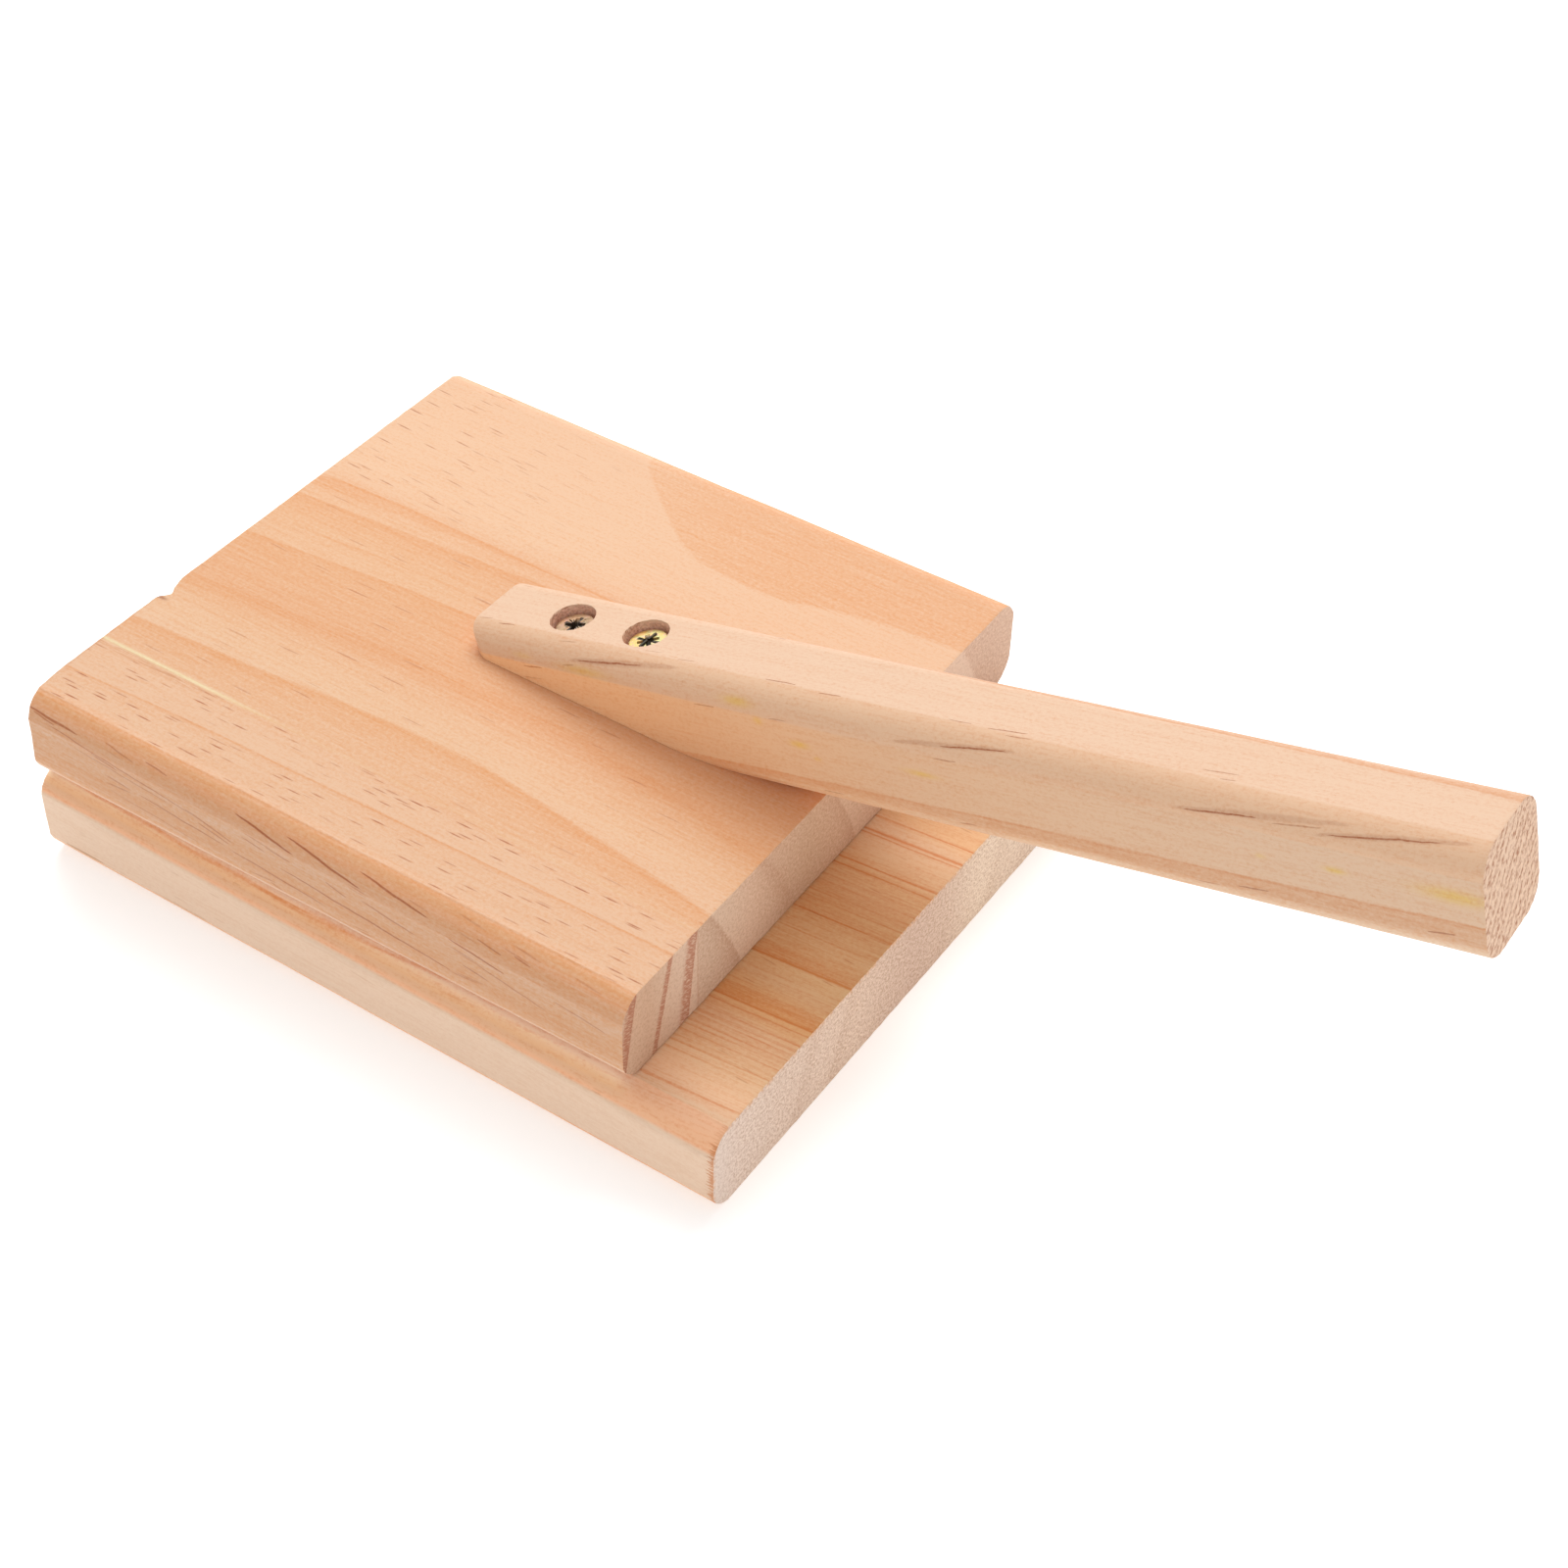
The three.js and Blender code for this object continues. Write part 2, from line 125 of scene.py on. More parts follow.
def round_corners(y, z, width, thick, radius, ridge):
    """Moves points of a width by thick section so that its corners are rounded."""
    past_y = y - np.clip(y, radius, width - radius)
    past_z = z - np.clip(z, radius, thick - radius)
    square = np.maximum(abs(past_y), abs(past_z))
    reach = np.hypot(past_y, past_z)
    corner = (abs(past_y) > 1e-9) & (abs(past_z) > 1e-9)
    safe = np.where(reach > 1e-9, reach, 1)
    c, s = abs(past_y) / safe, abs(past_z) / safe
    squared = radius * radius + 2 * radius * ridge + 2 * ridge * ridge
    under_root = ridge * ridge * (c + s) ** 2 - 2 * ridge * ridge + squared
    arc = -ridge * (c + s) + np.sqrt(np.maximum(under_root, 0))
    scale = np.where(corner, square / safe * arc / radius, 1.0)
    return y - past_y + past_y * scale, z - past_z + past_z * scale


def smooth(ob, sharp=40.0):
    mesh = ob.data
    mesh.polygons.foreach_set("use_smooth", [True] * len(mesh.polygons))
    mesh.set_sharp_from_angle(angle=math.radians(sharp))
    mesh.update()


def make_object(name, points, faces):
    mesh = bpy.data.meshes.new(name)
    vertices = [tuple(point) for point in np.asarray(points) * MM]
    mesh.from_pydata(vertices, [], [tuple(int(i) for i in face) for face in faces])
    mesh.validate()
    mesh.update()
    ob = bpy.data.objects.new(name, mesh)
    bpy.context.scene.collection.objects.link(ob)
    smooth(ob)
    return ob


def weld(ob):
    dist = 1e-7
    bm = bmesh.new()
    bm.from_mesh(ob.data)
    bmesh.ops.remove_doubles(bm, verts=bm.verts, dist=dist)
    bmesh.ops.dissolve_degenerate(bm, edges=bm.edges, dist=dist)
    bmesh.ops.recalc_face_normals(bm, faces=bm.faces)
    bm.to_mesh(ob.data)
    bm.free()


def welded(name, points, faces):
    ob = make_object(name, points, faces)
    weld(ob)
    return ob


def apply_modifiers(ob):
    depsgraph = bpy.context.evaluated_depsgraph_get()
    mesh = bpy.data.meshes.new_from_object(ob.evaluated_get(depsgraph), depsgraph=depsgraph)
    ob.modifiers.clear()
    old = ob.data
    ob.data = mesh
    bpy.data.meshes.remove(old)


def cut(ob, cutters, operation="DIFFERENCE"):
    for cutter in cutters:
        modifier = ob.modifiers.new("cut", "BOOLEAN")
        modifier.operation, modifier.solver, modifier.object = operation, "EXACT", cutter
    bpy.context.view_layer.update()
    apply_modifiers(ob)
    for cutter in cutters:
        mesh = cutter.data
        bpy.data.objects.remove(cutter)
        bpy.data.meshes.remove(mesh)
    weld(ob)


def side_faces(rings, count):
    """Quads between successive rings of `count` points."""
    return [(r * count + i, (r + 1) * count + i,
             (r + 1) * count + (i + 1) % count, r * count + (i + 1) % count)
            for r in range(rings - 1) for i in range(count)]


def prism_faces(count):
    caps = [tuple(range(count)), tuple(range(2 * count - 1, count - 1, -1))]
    return caps + side_faces(2, count)


def corner_arc(x, y, radius, start, steps):
    """Quarter circle about (x, y), from the angle `start` on."""
    angles = [start + math.pi / 2 * k / steps for k in range(steps + 1)]
    return [(x + radius * math.cos(a), y + radius * math.sin(a)) for a in angles]


def lathe(profile, segments, wobble=None):
    """Body of revolution about z. The profile is (radius, height); a zero radius closes it."""
    points, faces, rings = [], [], []
    for radius, height in profile:
        if radius < 1e-9:
            rings.append([len(points)])
            points.append((0, 0, height))
            continue
        rings.append(list(range(len(points), len(points) + segments)))
        for i in range(segments):
            angle = 2 * math.pi * i / segments
            r = radius * (1 + (wobble(angle, height) if wobble else 0))
            points.append((r * math.cos(angle), r * math.sin(angle), height))
    for a, b in zip(rings, rings[1:]):
        for i in range(segments):
            j = (i + 1) % segments
            if len(a) == 1:
                faces.append((a[0], b[i], b[j]))
            elif len(b) == 1:
                faces.append((a[i], b[0], a[j]))
            else:
                faces.append((a[i], b[i], b[j], a[j]))
    return np.array(points, float), faces


def basis(z_dir, x_dir):
    """Matrix whose columns are the x, y and z directions of a local frame."""
    z = np.array(z_dir, float) / np.linalg.norm(z_dir)
    x = np.array(x_dir, float)
    x = x - z * x.dot(z)
    x /= np.linalg.norm(x)
    return np.stack([x, np.cross(z, x), z], 1)


def register(ob, body, node):
    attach(ob, body)
    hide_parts(node)


# -------------------------------------------------------------------- boards
def wear_ends(points, cells, length, width, thick, radius, seed, least, most):
    """Breaks the sharp rim of both end faces unevenly, as a saw and a little sanding leave it."""
    outer = (cells == 0) | (cells == cells.max(0))
    for i in np.nonzero(outer[:, 0] & (outer[:, 1] | outer[:, 2]))[0]:
        x, y, z = points[i]
        slow = fbm((y * 0.35 + seed, z * 0.35, x * 0.1 + 3.1), 3)
        quick = fbm((y * 1.7 + seed, z * 1.7 + 9, x * 0.1), 2)
        wear = least + (most - least) * max(0, min(1, 0.5 + slow * 0.9)) + 0.10 * quick
        wear = max(0.04, wear)
        points[i, 0] = x + wear * 0.45 if x < length / 2 else x - wear * 0.45
        if y < radius or y > width - radius:
            points[i, 1] -= np.sign(y - width / 2) * wear * 0.35
        if z < radius or z > thick - radius:
            points[i, 2] -= np.sign(z - thick / 2) * wear * 0.35


def ripple_edges(points, width, thick, seed):
    """Lets the ridges of the long round-overs wander a little."""
    for point in points:
        x, y, z = point
        in_y, in_z = min(y, width - y), min(z, thick - z)
        if in_y >= ROUND or in_z >= ROUND:
            continue
        near = max(0.0, 1 - abs(math.hypot(in_y - ROUND, in_z - ROUND) - ROUND) / 2)
        if not near:
            continue
        edge = (0 if y < width / 2 else 7) + (0 if z < thick / 2 else 13)
        swell = fbm((x * 0.045 + seed, edge, 0.5), 3) * 0.11
        swell += fbm((x * 0.5 + seed, y * 0.4, z * 0.4), 2) * 0.02
        swell = min(swell, 0.05)
        outward = np.array([y - (ROUND if y < width / 2 else width - ROUND),
                            z - (ROUND if z < thick / 2 else thick - ROUND)])
        outward /= np.linalg.norm(outward) + 1e-9
        point[1] += outward[0] * (swell - 0.05) * near
        point[2] += outward[1] * (swell - 0.05) * near


def board(length, width, thick, seed, extra_y=(), extra_z=()):
    """A board lying along x from the origin."""
    ys = np.array(sorted({*corner_rows(width, ROUND, 2.0), *extra_y}))
    zs = np.array(sorted({*corner_rows(thick, ROUND, 1.6), *extra_z}))
    points, quads, cells = lattice(spread(length, 2.0, END_ROWS), ys, zs)
    points[:, 1], points[:, 2] = round_corners(
        points[:, 1], points[:, 2], width, thick, ROUND, RIDGE)
    wear_ends(points, cells, length, width, thick, ROUND, seed, least=0.12, most=0.3)
    ripple_edges(points, width, thick, seed)
    return points, quads


def saw_mark(x, y, z, length, seed):
    """Unevenness of the sawn end faces."""
    if 0.01 <= x <= length - 0.01:
        return 0.0
    inward = 1 if x < 1 else -1
    return inward * (0.05 + 0.045 * fbm((y * 0.5, z * 0.9, seed * inward), 3))


def build_base():
    points, quads = board(BASE_L, BASE_W, BASE_T, seed=11.0)
    for point in points:
        point[0] += saw_mark(*point, BASE_L, 4.0)
    return make_object("base_board_wood", points + base_lo, quads)


# depth of the splinter missing from the hinge end's top edge, by distance from the front
SPLINTER_Y = [37.0, 37.6, 38.7, 39.25, 40.0, 41.2, 42.4, 43.6, 44.6]
SPLINTER_DEPTH = [0, 0.3, 1.15, 1.75, 1.62, 0.95, 0.55, 0.2, 0]


def hinge_end_loss(y, z):
    """Wood missing from the hinge end: two worn corners and the splinter."""
    worn = 1.15 * max(0.0, 1 - y / 15.0) ** 2.0
    worn += 0.5 * max(0.0, 1 - (LID_W - y) / 3.0) ** 2
    if z < 12:
        worn *= max(0.25, z / 12)
    depth = np.interp(y, SPLINTER_Y, SPLINTER_DEPTH)
    fade = min(1.0, max(0.0, (z - 15.6 - 0.25 * (y - 39)) / 2.6))
    fade = fade * fade * (3 - 2 * fade)
    torn = 0.16 * fbm((y * 2.3, z * 1.4, 5.0), 2) if depth > 0.1 and fade > 0.1 else 0
    return worn + max(0.0, depth * fade + torn * min(1, depth))


def build_lid():
    """The hinge end is square to the hinges, though the long edges are turned by YAW."""
    extra_y = [*np.arange(35.8, 45.4, 0.45), 0.8, 6, 8, 10, 12]
    points, quads = board(LID_L, LID_W, LID_T, 37.0, extra_y, np.arange(15.2, 19.9, 0.55))
    for point in points:
        x, y, z = point
        skewed = x + hinge_end_loss(y, z) * max(0.0, 1 - x / 7.0)
        skewed = skewed + y * math.tan(YAW) * (1 - x / LID_L)
        point[0] = skewed + saw_mark(x, y, z, LID_L, 8.0)
    c, s = math.cos(YAW), math.sin(YAW)
    x, y, z = points.T
    turned = np.stack([lid_lo[0] + x * c - y * s, lid_lo[1] + x * s + y * c, lid_lo[2] + z], 1)
    turned[:, 0] = np.maximum(turned[:, 0], lid_lo[0])
    return make_object("upper_board_wood", turned, quads)


# -------------------------------------------------------------------- handle
def handle_blank():
    """The whole bar, before its thin end, seat and bores are cut."""
    length = HANDLE_L + TIP_SPARE
    xs = np.array(sorted({*spread(length, 1.6, END_ROWS[:2]), *np.arange(8.4, 20, 0.8)}))
    ys = corner_rows(HANDLE_W, HANDLE_R, 1.3, count=8)
    zs = corner_rows(HANDLE_H, HANDLE_R, 1.3, count=8)
    points, quads, cells = lattice(xs, ys, zs)
    points[:, 1], points[:, 2] = round_corners(
        points[:, 1], points[:, 2], HANDLE_W, HANDLE_H, HANDLE_R, 0.55)
    wear_ends(points, cells, length, HANDLE_W, HANDLE_H, HANDLE_R, 71.0, least=0.1, most=0.32)
    for point in points:
        x, y, z = point
        if x > length - 0.1:                       # rough-sawn free end
            x -= 0.07 + 0.06 * fbm((y * 0.9, z * 0.9, 2.0), 3)
        y, z = y - HANDLE_W / 2, z - HANDLE_H / 2
        swell = 0.05 * fbm((x * 0.05, y * 0.12, z * 0.12), 2) - 0.03
        y, z = y * (1 + swell / 11), z * (1 + swell / 11)
        point[:] = (END_CENTRE + AXIS * (x - TIP_SPARE - HANDLE_L)
                    + np.array([0, y, 0]) + UP * z)
    return make_object("handle_wood", points, quads)


def plan_cutter():
    """Leaves the thin end with a bigger round at its front corner than at its back one."""
    front_r, back_r, half = 4.6, 2.9, HANDLE_W / 2
    line = corner_arc(back_r, half - back_r, back_r, math.pi / 2, 12)
    line += corner_arc(front_r, -half + front_r, front_r, math.pi, 12)
    line = [(x + 0.06 * fbm((y * 0.7, 3, 1), 2), y) for x, y in line]
    ring = [(back_r + 0.01, half + 3), *line, (front_r + 0.01, -half - 3),
            (-14, -half - 3), (-14, half + 3)]
    middle = [END_CENTRE + AXIS * (x - HANDLE_L) + np.array([0, y, 0]) for x, y in ring]
    points = [p - UP * 20 for p in middle] + [p + UP * 16 for p in middle]
    return welded("cut_plan", np.array(points), prism_faces(len(ring)))


def seat_cutter():
    """Block under the level seat that rests on the upper board."""
    points, quads, _ = lattice(np.linspace(-60, 230, 60), np.linspace(-30, 40, 15),
                               np.array([SEAT_Z - 60, SEAT_Z]))
    return make_object("cut_seat", points, quads)


def find_bore(node):
    """Centre of the screw head's flat top, and its depth below the handle's top face."""
    vertices = np.array([v.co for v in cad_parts[node].data.vertices]) * 1000
    height = (vertices - END_CENTRE) @ UP
    rim = vertices[height > height.max() - 0.05]
    return (rim.min(0) + rim.max(0)) / 2, HANDLE_H / 2 - height.max()


def bore_cutter(head, depth, seed):
    radius, foot, steps = 4.55, 1.25, 14
    profile = [(0, depth + 3), (radius + 0.35, depth + 3), (radius + 0.3, depth + 0.35),
               (radius + 0.02, depth - 0.05)]
    profile += [(radius, depth - (depth + foot) * i / steps) for i in range(1, steps)]
    profile += [(radius, -foot), (4.0, -1.3), (3.15, -1.35), (2.2, -2.3), (2.2, -3.4), (0, -3.6)]

    def torn_fibres(angle, height):
        """Rougher where the drill meets the grain end-on."""
        if height > depth - 0.02:
            return 0.004 * fbm((math.cos(angle) * 3 + seed, math.sin(angle) * 3, 1.0), 2)
        end_on = abs(math.cos(angle)) ** 1.2
        place = (math.cos(angle) * 5 + seed, math.sin(angle) * 5, height * 1.1)
        coarse = fbm(place, 3)
        fine = fbm((angle * 9.0 + seed, height * 3.2, 0.0), 2)
        return min(0.028, (0.012 + 0.02 * end_on) * coarse + 0.012 * fine * end_on)

    points, faces = lathe(profile, 72, torn_fibres)
    return welded("cut_bore", points @ basis(UP, AXIS).T + head, faces)


def build_handle():
    ob = handle_blank()
    cutters = [plan_cutter(), seat_cutter()]
    cutters += [bore_cutter(head, depth, 10.0 * i) for i, (head, depth) in enumerate(bores)]
    cut(ob, cutters)
    smooth(ob, 32)
    return ob


# -------------------------------------------------------------------- screws
HANDLE_SCREW = dict(
    body=dict(length=25.0, head_r=3.8, core_r=1.25, thread_r=2.0, pitch=1.8, rim=0.35),
    drive=dict(arm=2.15, wide=0.95, depth=1.7, ticks=True))
HINGE_SCREW = dict(
    body=dict(length=12.0, head_r=2.68, core_r=0.95, thread_r=1.5, pitch=1.35, rim=0.16),
    drive=dict(arm=1.5, wide=0.66, depth=0.95, ticks=False))


def screw_mesh(length, head_r, core_r, thread_r, pitch, rim):
    """Countersunk wood screw along -z, head's top at z = 0, with a true helical thread."""
    segments = 48
    cone_end = -rim - (head_r - thread_r)
    shank_end = cone_end - 0.4
    thread_end = -length + 1.0
    points, faces = lathe([
        (0.0, 0.0), (head_r - 0.12, 0.0), (head_r - 0.02, -0.07), (head_r, -0.14),
        (head_r, -rim), (thread_r + 0.15, cone_end + 0.12), (core_r + 0.12, cone_end - 0.15),
        (core_r, shank_end)], segments)
    points = list(points)
    last = list(range(len(points) - segments, len(points)))
    steps = int((shank_end - thread_end) / (pitch / 8))
    for k in range(1, steps + 1):
        z = shank_end - (shank_end - thread_end) * k / steps
        left = (z - thread_end) / (shank_end - thread_end)
        core = core_r * min(1.0, 0.25 + 0.75 * min(1.0, left * (length / 5.0)))
        crest = ((thread_r - core_r) * min(1.0, (1 - left) * 6 + 0.05)
                 * min(1.0, 0.15 + left * (length / 5.0)))
        ring = list(range(len(points), len(points) + segments))
        for i in range(segments):
            angle = 2 * math.pi * i / segments
            turn = ((shank_end - z) / pitch - i / segments) % 1.0
            radius = core + crest * max(0.0, 1 - abs(turn - 0.5) / 0.26) ** 1.1
            points.append((radius * math.cos(angle), radius * math.sin(angle), z))
        for i in range(segments):
            j = (i + 1) % segments
            faces.append((last[i], ring[i], ring[j], last[j]))
        last = ring
    points.append((0, 0, -length))
    for i in range(segments):
        faces.append((last[i], len(points) - 1, last[(i + 1) % segments]))
    return np.array(points, float), faces


def stacked(levels, angle, lift):
    """Points of sections given as (height, corners), turned about z and lifted."""
    c, s = math.cos(angle), math.sin(angle)
    return np.array([(x * c - y * s, x * s + y * c, z + lift)
                     for z, corners in levels for x, y in corners])


def flute_corners(reach, width):
    """Bar across the head with small chamfers at its four corners."""
    long, half, narrow = reach * 0.93, width * 0.5, width * 0.36
    return [(-reach, -narrow), (-long, -half), (long, -half), (reach, -narrow),
            (reach, narrow), (long, half), (-long, half), (-reach, narrow)]


def drive_cutters(place, arm, wide, depth, ticks):
    """Tapered cross, four flutes meeting in a pit, with four optional fine ticks between."""
    cutters = []
    flute = [(z, flute_corners(reach, width)) for z, reach, width in (
        (0.4, arm + 0.15, wide + 0.1), (-0.02, arm, wide),
        (-depth * 0.45, arm * 0.82, wide * 0.84), (-depth * 0.8, arm * 0.52, wide * 0.66),
        (-depth, arm * 0.22, wide * 0.5))]
    flute_faces = [tuple(range(8)), *side_faces(5, 8), tuple(range(39, 31, -1))]
    for k in range(2):
        points = stacked(flute, math.pi / 2 * k, k * 0.003)
        cutters.append(welded("cut_cross", place(points), flute_faces))

    points, faces = lathe([(0, 0.3), (wide * 0.98, 0.3), (wide * 0.92, 0.0),
                           (wide * 0.6, -depth * 0.9), (0, -depth * 1.15)], 24)
    cutters.append(welded("cut_pit", place(points), faces))
    if ticks:
        reach, width = arm * 1.12, 0.13
        tick = [(z, [(-reach, -half), (reach, -half), (reach, half), (-reach, half)])
                for z, half in ((0.3, width * 1.6), (0.0, width), (-0.22, width * 0.2))]
        tick_faces = [(0, 1, 2, 3), (11, 10, 9, 8), *side_faces(3, 4)]
        for k in range(2):
            points = stacked(tick, math.pi / 4 + math.pi / 2 * k, k * 0.002)
            cutters.append(welded("cut_tick", place(points), tick_faces))
    return cutters


def add_screw(node, ending, head, direction, x_dir, turn, spec, body):
    """Screw whose head faces `direction`, turned about its axis by `turn` degrees."""
    frame_matrix = basis(direction, x_dir)
    a = math.radians(turn)
    spin = np.array([[math.cos(a), -math.sin(a), 0], [math.sin(a), math.cos(a), 0], [0, 0, 1]])

    def place(points):
        return points @ spin.T @ frame_matrix.T + head

    points, faces = screw_mesh(**spec["body"])
    ob = welded(node + ending, place(points), faces)
    cut(ob, drive_cutters(place, **spec["drive"]))
    smooth(ob, 35)
    register(ob, body, node)
    return ob


# -------------------------------------------------------------------- hinges
LEAF_T = 1.0
LEAF_CORNER = 1.6
CURL_END = math.radians(360 - 62)
CURL_STEPS = 44
KNUCKLE_GAP = 0.12             # play at each side where two knuckles meet
PIN_R = 1.25
# peened end of the pin: (radius, height past the knuckles)
PIN_END = [(0, 0.85), (0.75, 0.85), (1.3, 0.74), (1.64, 0.5), (1.74, 0.28), (1.7, 0.12),
           (PIN_R, 0.1)]
SCREW_HOLE = [(0, 0.5), (3.35, 0.5), (2.86, 0.0), (2.84, -0.16), (1.72, -1.12), (1.72, -1.7),
              (0, -1.7)]
TO_HINGE_SIDE, UPWARD = (-1, 0, 0), (0, 0, 1)


def build_leaf(side, which, knuckles, flip, body, centre, outer, half, reach):
    """One leaf with its curled knuckles and two screws. `flip` is -1 for the upper leaf."""
    inner = outer - LEAF_T

    def place(points):
        return np.asarray(points, float) * np.array([1, 1, flip]) + centre

    # flat plate, as (y, z)
    low = -reach + LEAF_CORNER
    outline = [(-half, -3.3),
               *corner_arc(-half + LEAF_CORNER, low, LEAF_CORNER, math.pi, 8),
               *corner_arc(half - LEAF_CORNER, low, LEAF_CORNER, 1.5 * math.pi, 8),
               (half, -3.3)]
    plate = [(x, y, z) for x in (inner, outer) for y, z in outline]
    leaf = welded(f"{side}_hinge_{which}_leaf_plate", place(plate), prism_faces(len(outline)))

    # knuckles, as a curled section in (x, z)
    angles = [CURL_END * k / CURL_STEPS for k in range(CURL_STEPS + 1)]
    back_angles = [CURL_END * (1 - k / CURL_STEPS) for k in range(CURL_STEPS + 1)]
    section = [(outer, -4.2)]
    section += [(outer * math.cos(a), outer * math.sin(a)) for a in angles]
    section += [(inner * math.cos(a), inner * math.sin(a)) for a in back_angles]
    section.append((inner, -4.2))
    width = 2 * half / 3
    curls = []
    for k in knuckles:
        start = -half + k * width + (KNUCKLE_GAP if k > 0 else 0)
        end = -half + (k + 1) * width - (KNUCKLE_GAP if k < 2 else 0)
        curl = [(x, y, z) for y in (start, end) for x, z in section]
        curls.append(welded("curl", place(curl), prism_faces(len(section))))
    cut(leaf, curls, "UNION")

    holes, screws = [], []
    for k in (1, 2):
        node = f"{side}_hinge_{which}_screw_{k}"
        screw_lo, screw_hi = box_mm(node)
        _, y, z = (screw_lo + screw_hi) / 2
        points, faces = lathe(SCREW_HOLE, 40)
        points = points @ basis(TO_HINGE_SIDE, UPWARD).T + np.array([centre[0] + inner, y, z])
        holes.append(welded("cut_hole", points, faces))
        turn = 25 + 37 * k + (20 if which == "upper" else 0) + (11 if side == "back" else 0)
        screws.append((node, np.array([screw_lo[0], y, z]), turn))
    cut(leaf, holes)
    bevel = leaf.modifiers.new("edge", "BEVEL")
    bevel.width, bevel.segments = 0.12 * MM, 2
    bevel.limit_method, bevel.angle_limit = "ANGLE", math.radians(38)
    bevel.use_clamp_overlap = True
    apply_modifiers(leaf)
    smooth(leaf, 30)
    register(leaf, body, f"{side}_hinge_{which}_leaf")
    return leaf, [add_screw(node, "_cross", head, TO_HINGE_SIDE, UPWARD, turn, HINGE_SCREW, body)
                  for node, head, turn in screws]


def build_pin(side, centre, half):
    profile = [(radius, half + z) for radius, z in PIN_END]
    profile += [(radius, -half - z) for radius, z in PIN_END[::-1]]
    points, faces = lathe(profile, 48)
    points = points @ basis((0, 1, 0), (1, 0, 0)).T + centre
    pin = welded(f"{side}_hinge_pin_peened", points, faces)
    smooth(pin, 35)
    register(pin, "base", side + "_hinge_pin")
    return pin


def build_hinge(side):
    pin_lo, pin_hi = box_mm(side + "_hinge_pin")
    leaf_lo, leaf_hi = box_mm(side + "_hinge_lower_leaf")
    centre = (pin_lo + pin_hi) / 2
    outer = leaf_hi[0] - centre[0]                 # outer radius of the knuckles
    half = (leaf_hi[1] - leaf_lo[1]) / 2
    reach = centre[2] - leaf_lo[2]
    steel, screws = [], []
    for which, knuckles, flip, body in (("lower", (0, 2), 1, "base"),
                                        ("upper", (1,), -1, "press_plate")):
        leaf, leaf_screws = build_leaf(side, which, knuckles, flip, body,
                                       centre, outer, half, reach)
        steel.append(leaf)
        screws += leaf_screws
    return steel + [build_pin(side, centre, half)], screws


# -------------------------------------------------------------- shader tools
class Value:
    """A node socket with arithmetic. Every operation lays one node."""

    def __init__(self, graph, socket):
        self.graph, self.socket = graph, socket

    def math(self, operation, *others, clamp=False):
        return self.graph.math(operation, self, *others, clamp=clamp)

    __add__ = __radd__ = lambda self, other: self.math("ADD", other)
    __mul__ = __rmul__ = lambda self, other: self.math("MULTIPLY", other)
    __sub__ = lambda self, other: self.math("SUBTRACT", other)
    __rsub__ = lambda self, other: self.graph.math("SUBTRACT", other, self)
    __truediv__ = lambda self, other: self.math("DIVIDE", other)

    def max(self, other):
        return self.math("MAXIMUM", other)

    def min(self, other):
        return self.math("MINIMUM", other)

    def abs(self):
        return self.math("ABSOLUTE")

    def exp(self):
        return self.math("EXPONENT")

    def clamp(self):
        return self.math("ADD", 0.0, clamp=True)

    def times_plus(self, factor, term):
        return self.math("MULTIPLY_ADD", factor, term)

    def step(self, start, end, low=0.0, high=1.0, kind="SMOOTHSTEP"):
        """Smooth step: low at start, high at end."""
        node = self.graph.new("ShaderNodeMapRange")
        node.interpolation_type = kind
        for value, socket in zip((self, start, end, low, high), node.inputs):
            self.graph.put(value, socket)
        return Value(self.graph, node.outputs[0])

    def fall(self, start, end):
        return self.step(start, end, 1.0, 0.0)

    def ramp(self, start, end, low=0.0, high=1.0):
        return self.step(start, end, low, high, "LINEAR")

    def split(self):
        node = self.graph.new("ShaderNodeSeparateXYZ")
        self.graph.put(self, node.inputs[0])
        return [Value(self.graph, socket) for socket in node.outputs]

    def curve(self, points, x0, x1, y0=None, y1=None):
        """A smooth curve through (x, y) points over x0..x1."""
        y0 = min(y for _, y in points) if y0 is None else y0
        y1 = max(y for _, y in points) if y1 is None else y1
        node = self.graph.new("ShaderNodeFloatCurve")
        curve = node.mapping.curves[0]
        while len(curve.points) < len(points):
            curve.points.new(0.5, 0.5)
        for knot, (x, y) in zip(curve.points, points):
            knot.location = ((x - x0) / (x1 - x0), (y - y0) / (y1 - y0))
            knot.handle_type = "AUTO_CLAMPED"
        node.mapping.update()
        self.graph.put((self - x0) / (x1 - x0), node.inputs["Value"])
        return Value(self.graph, node.outputs[0]) * (y1 - y0) + y0


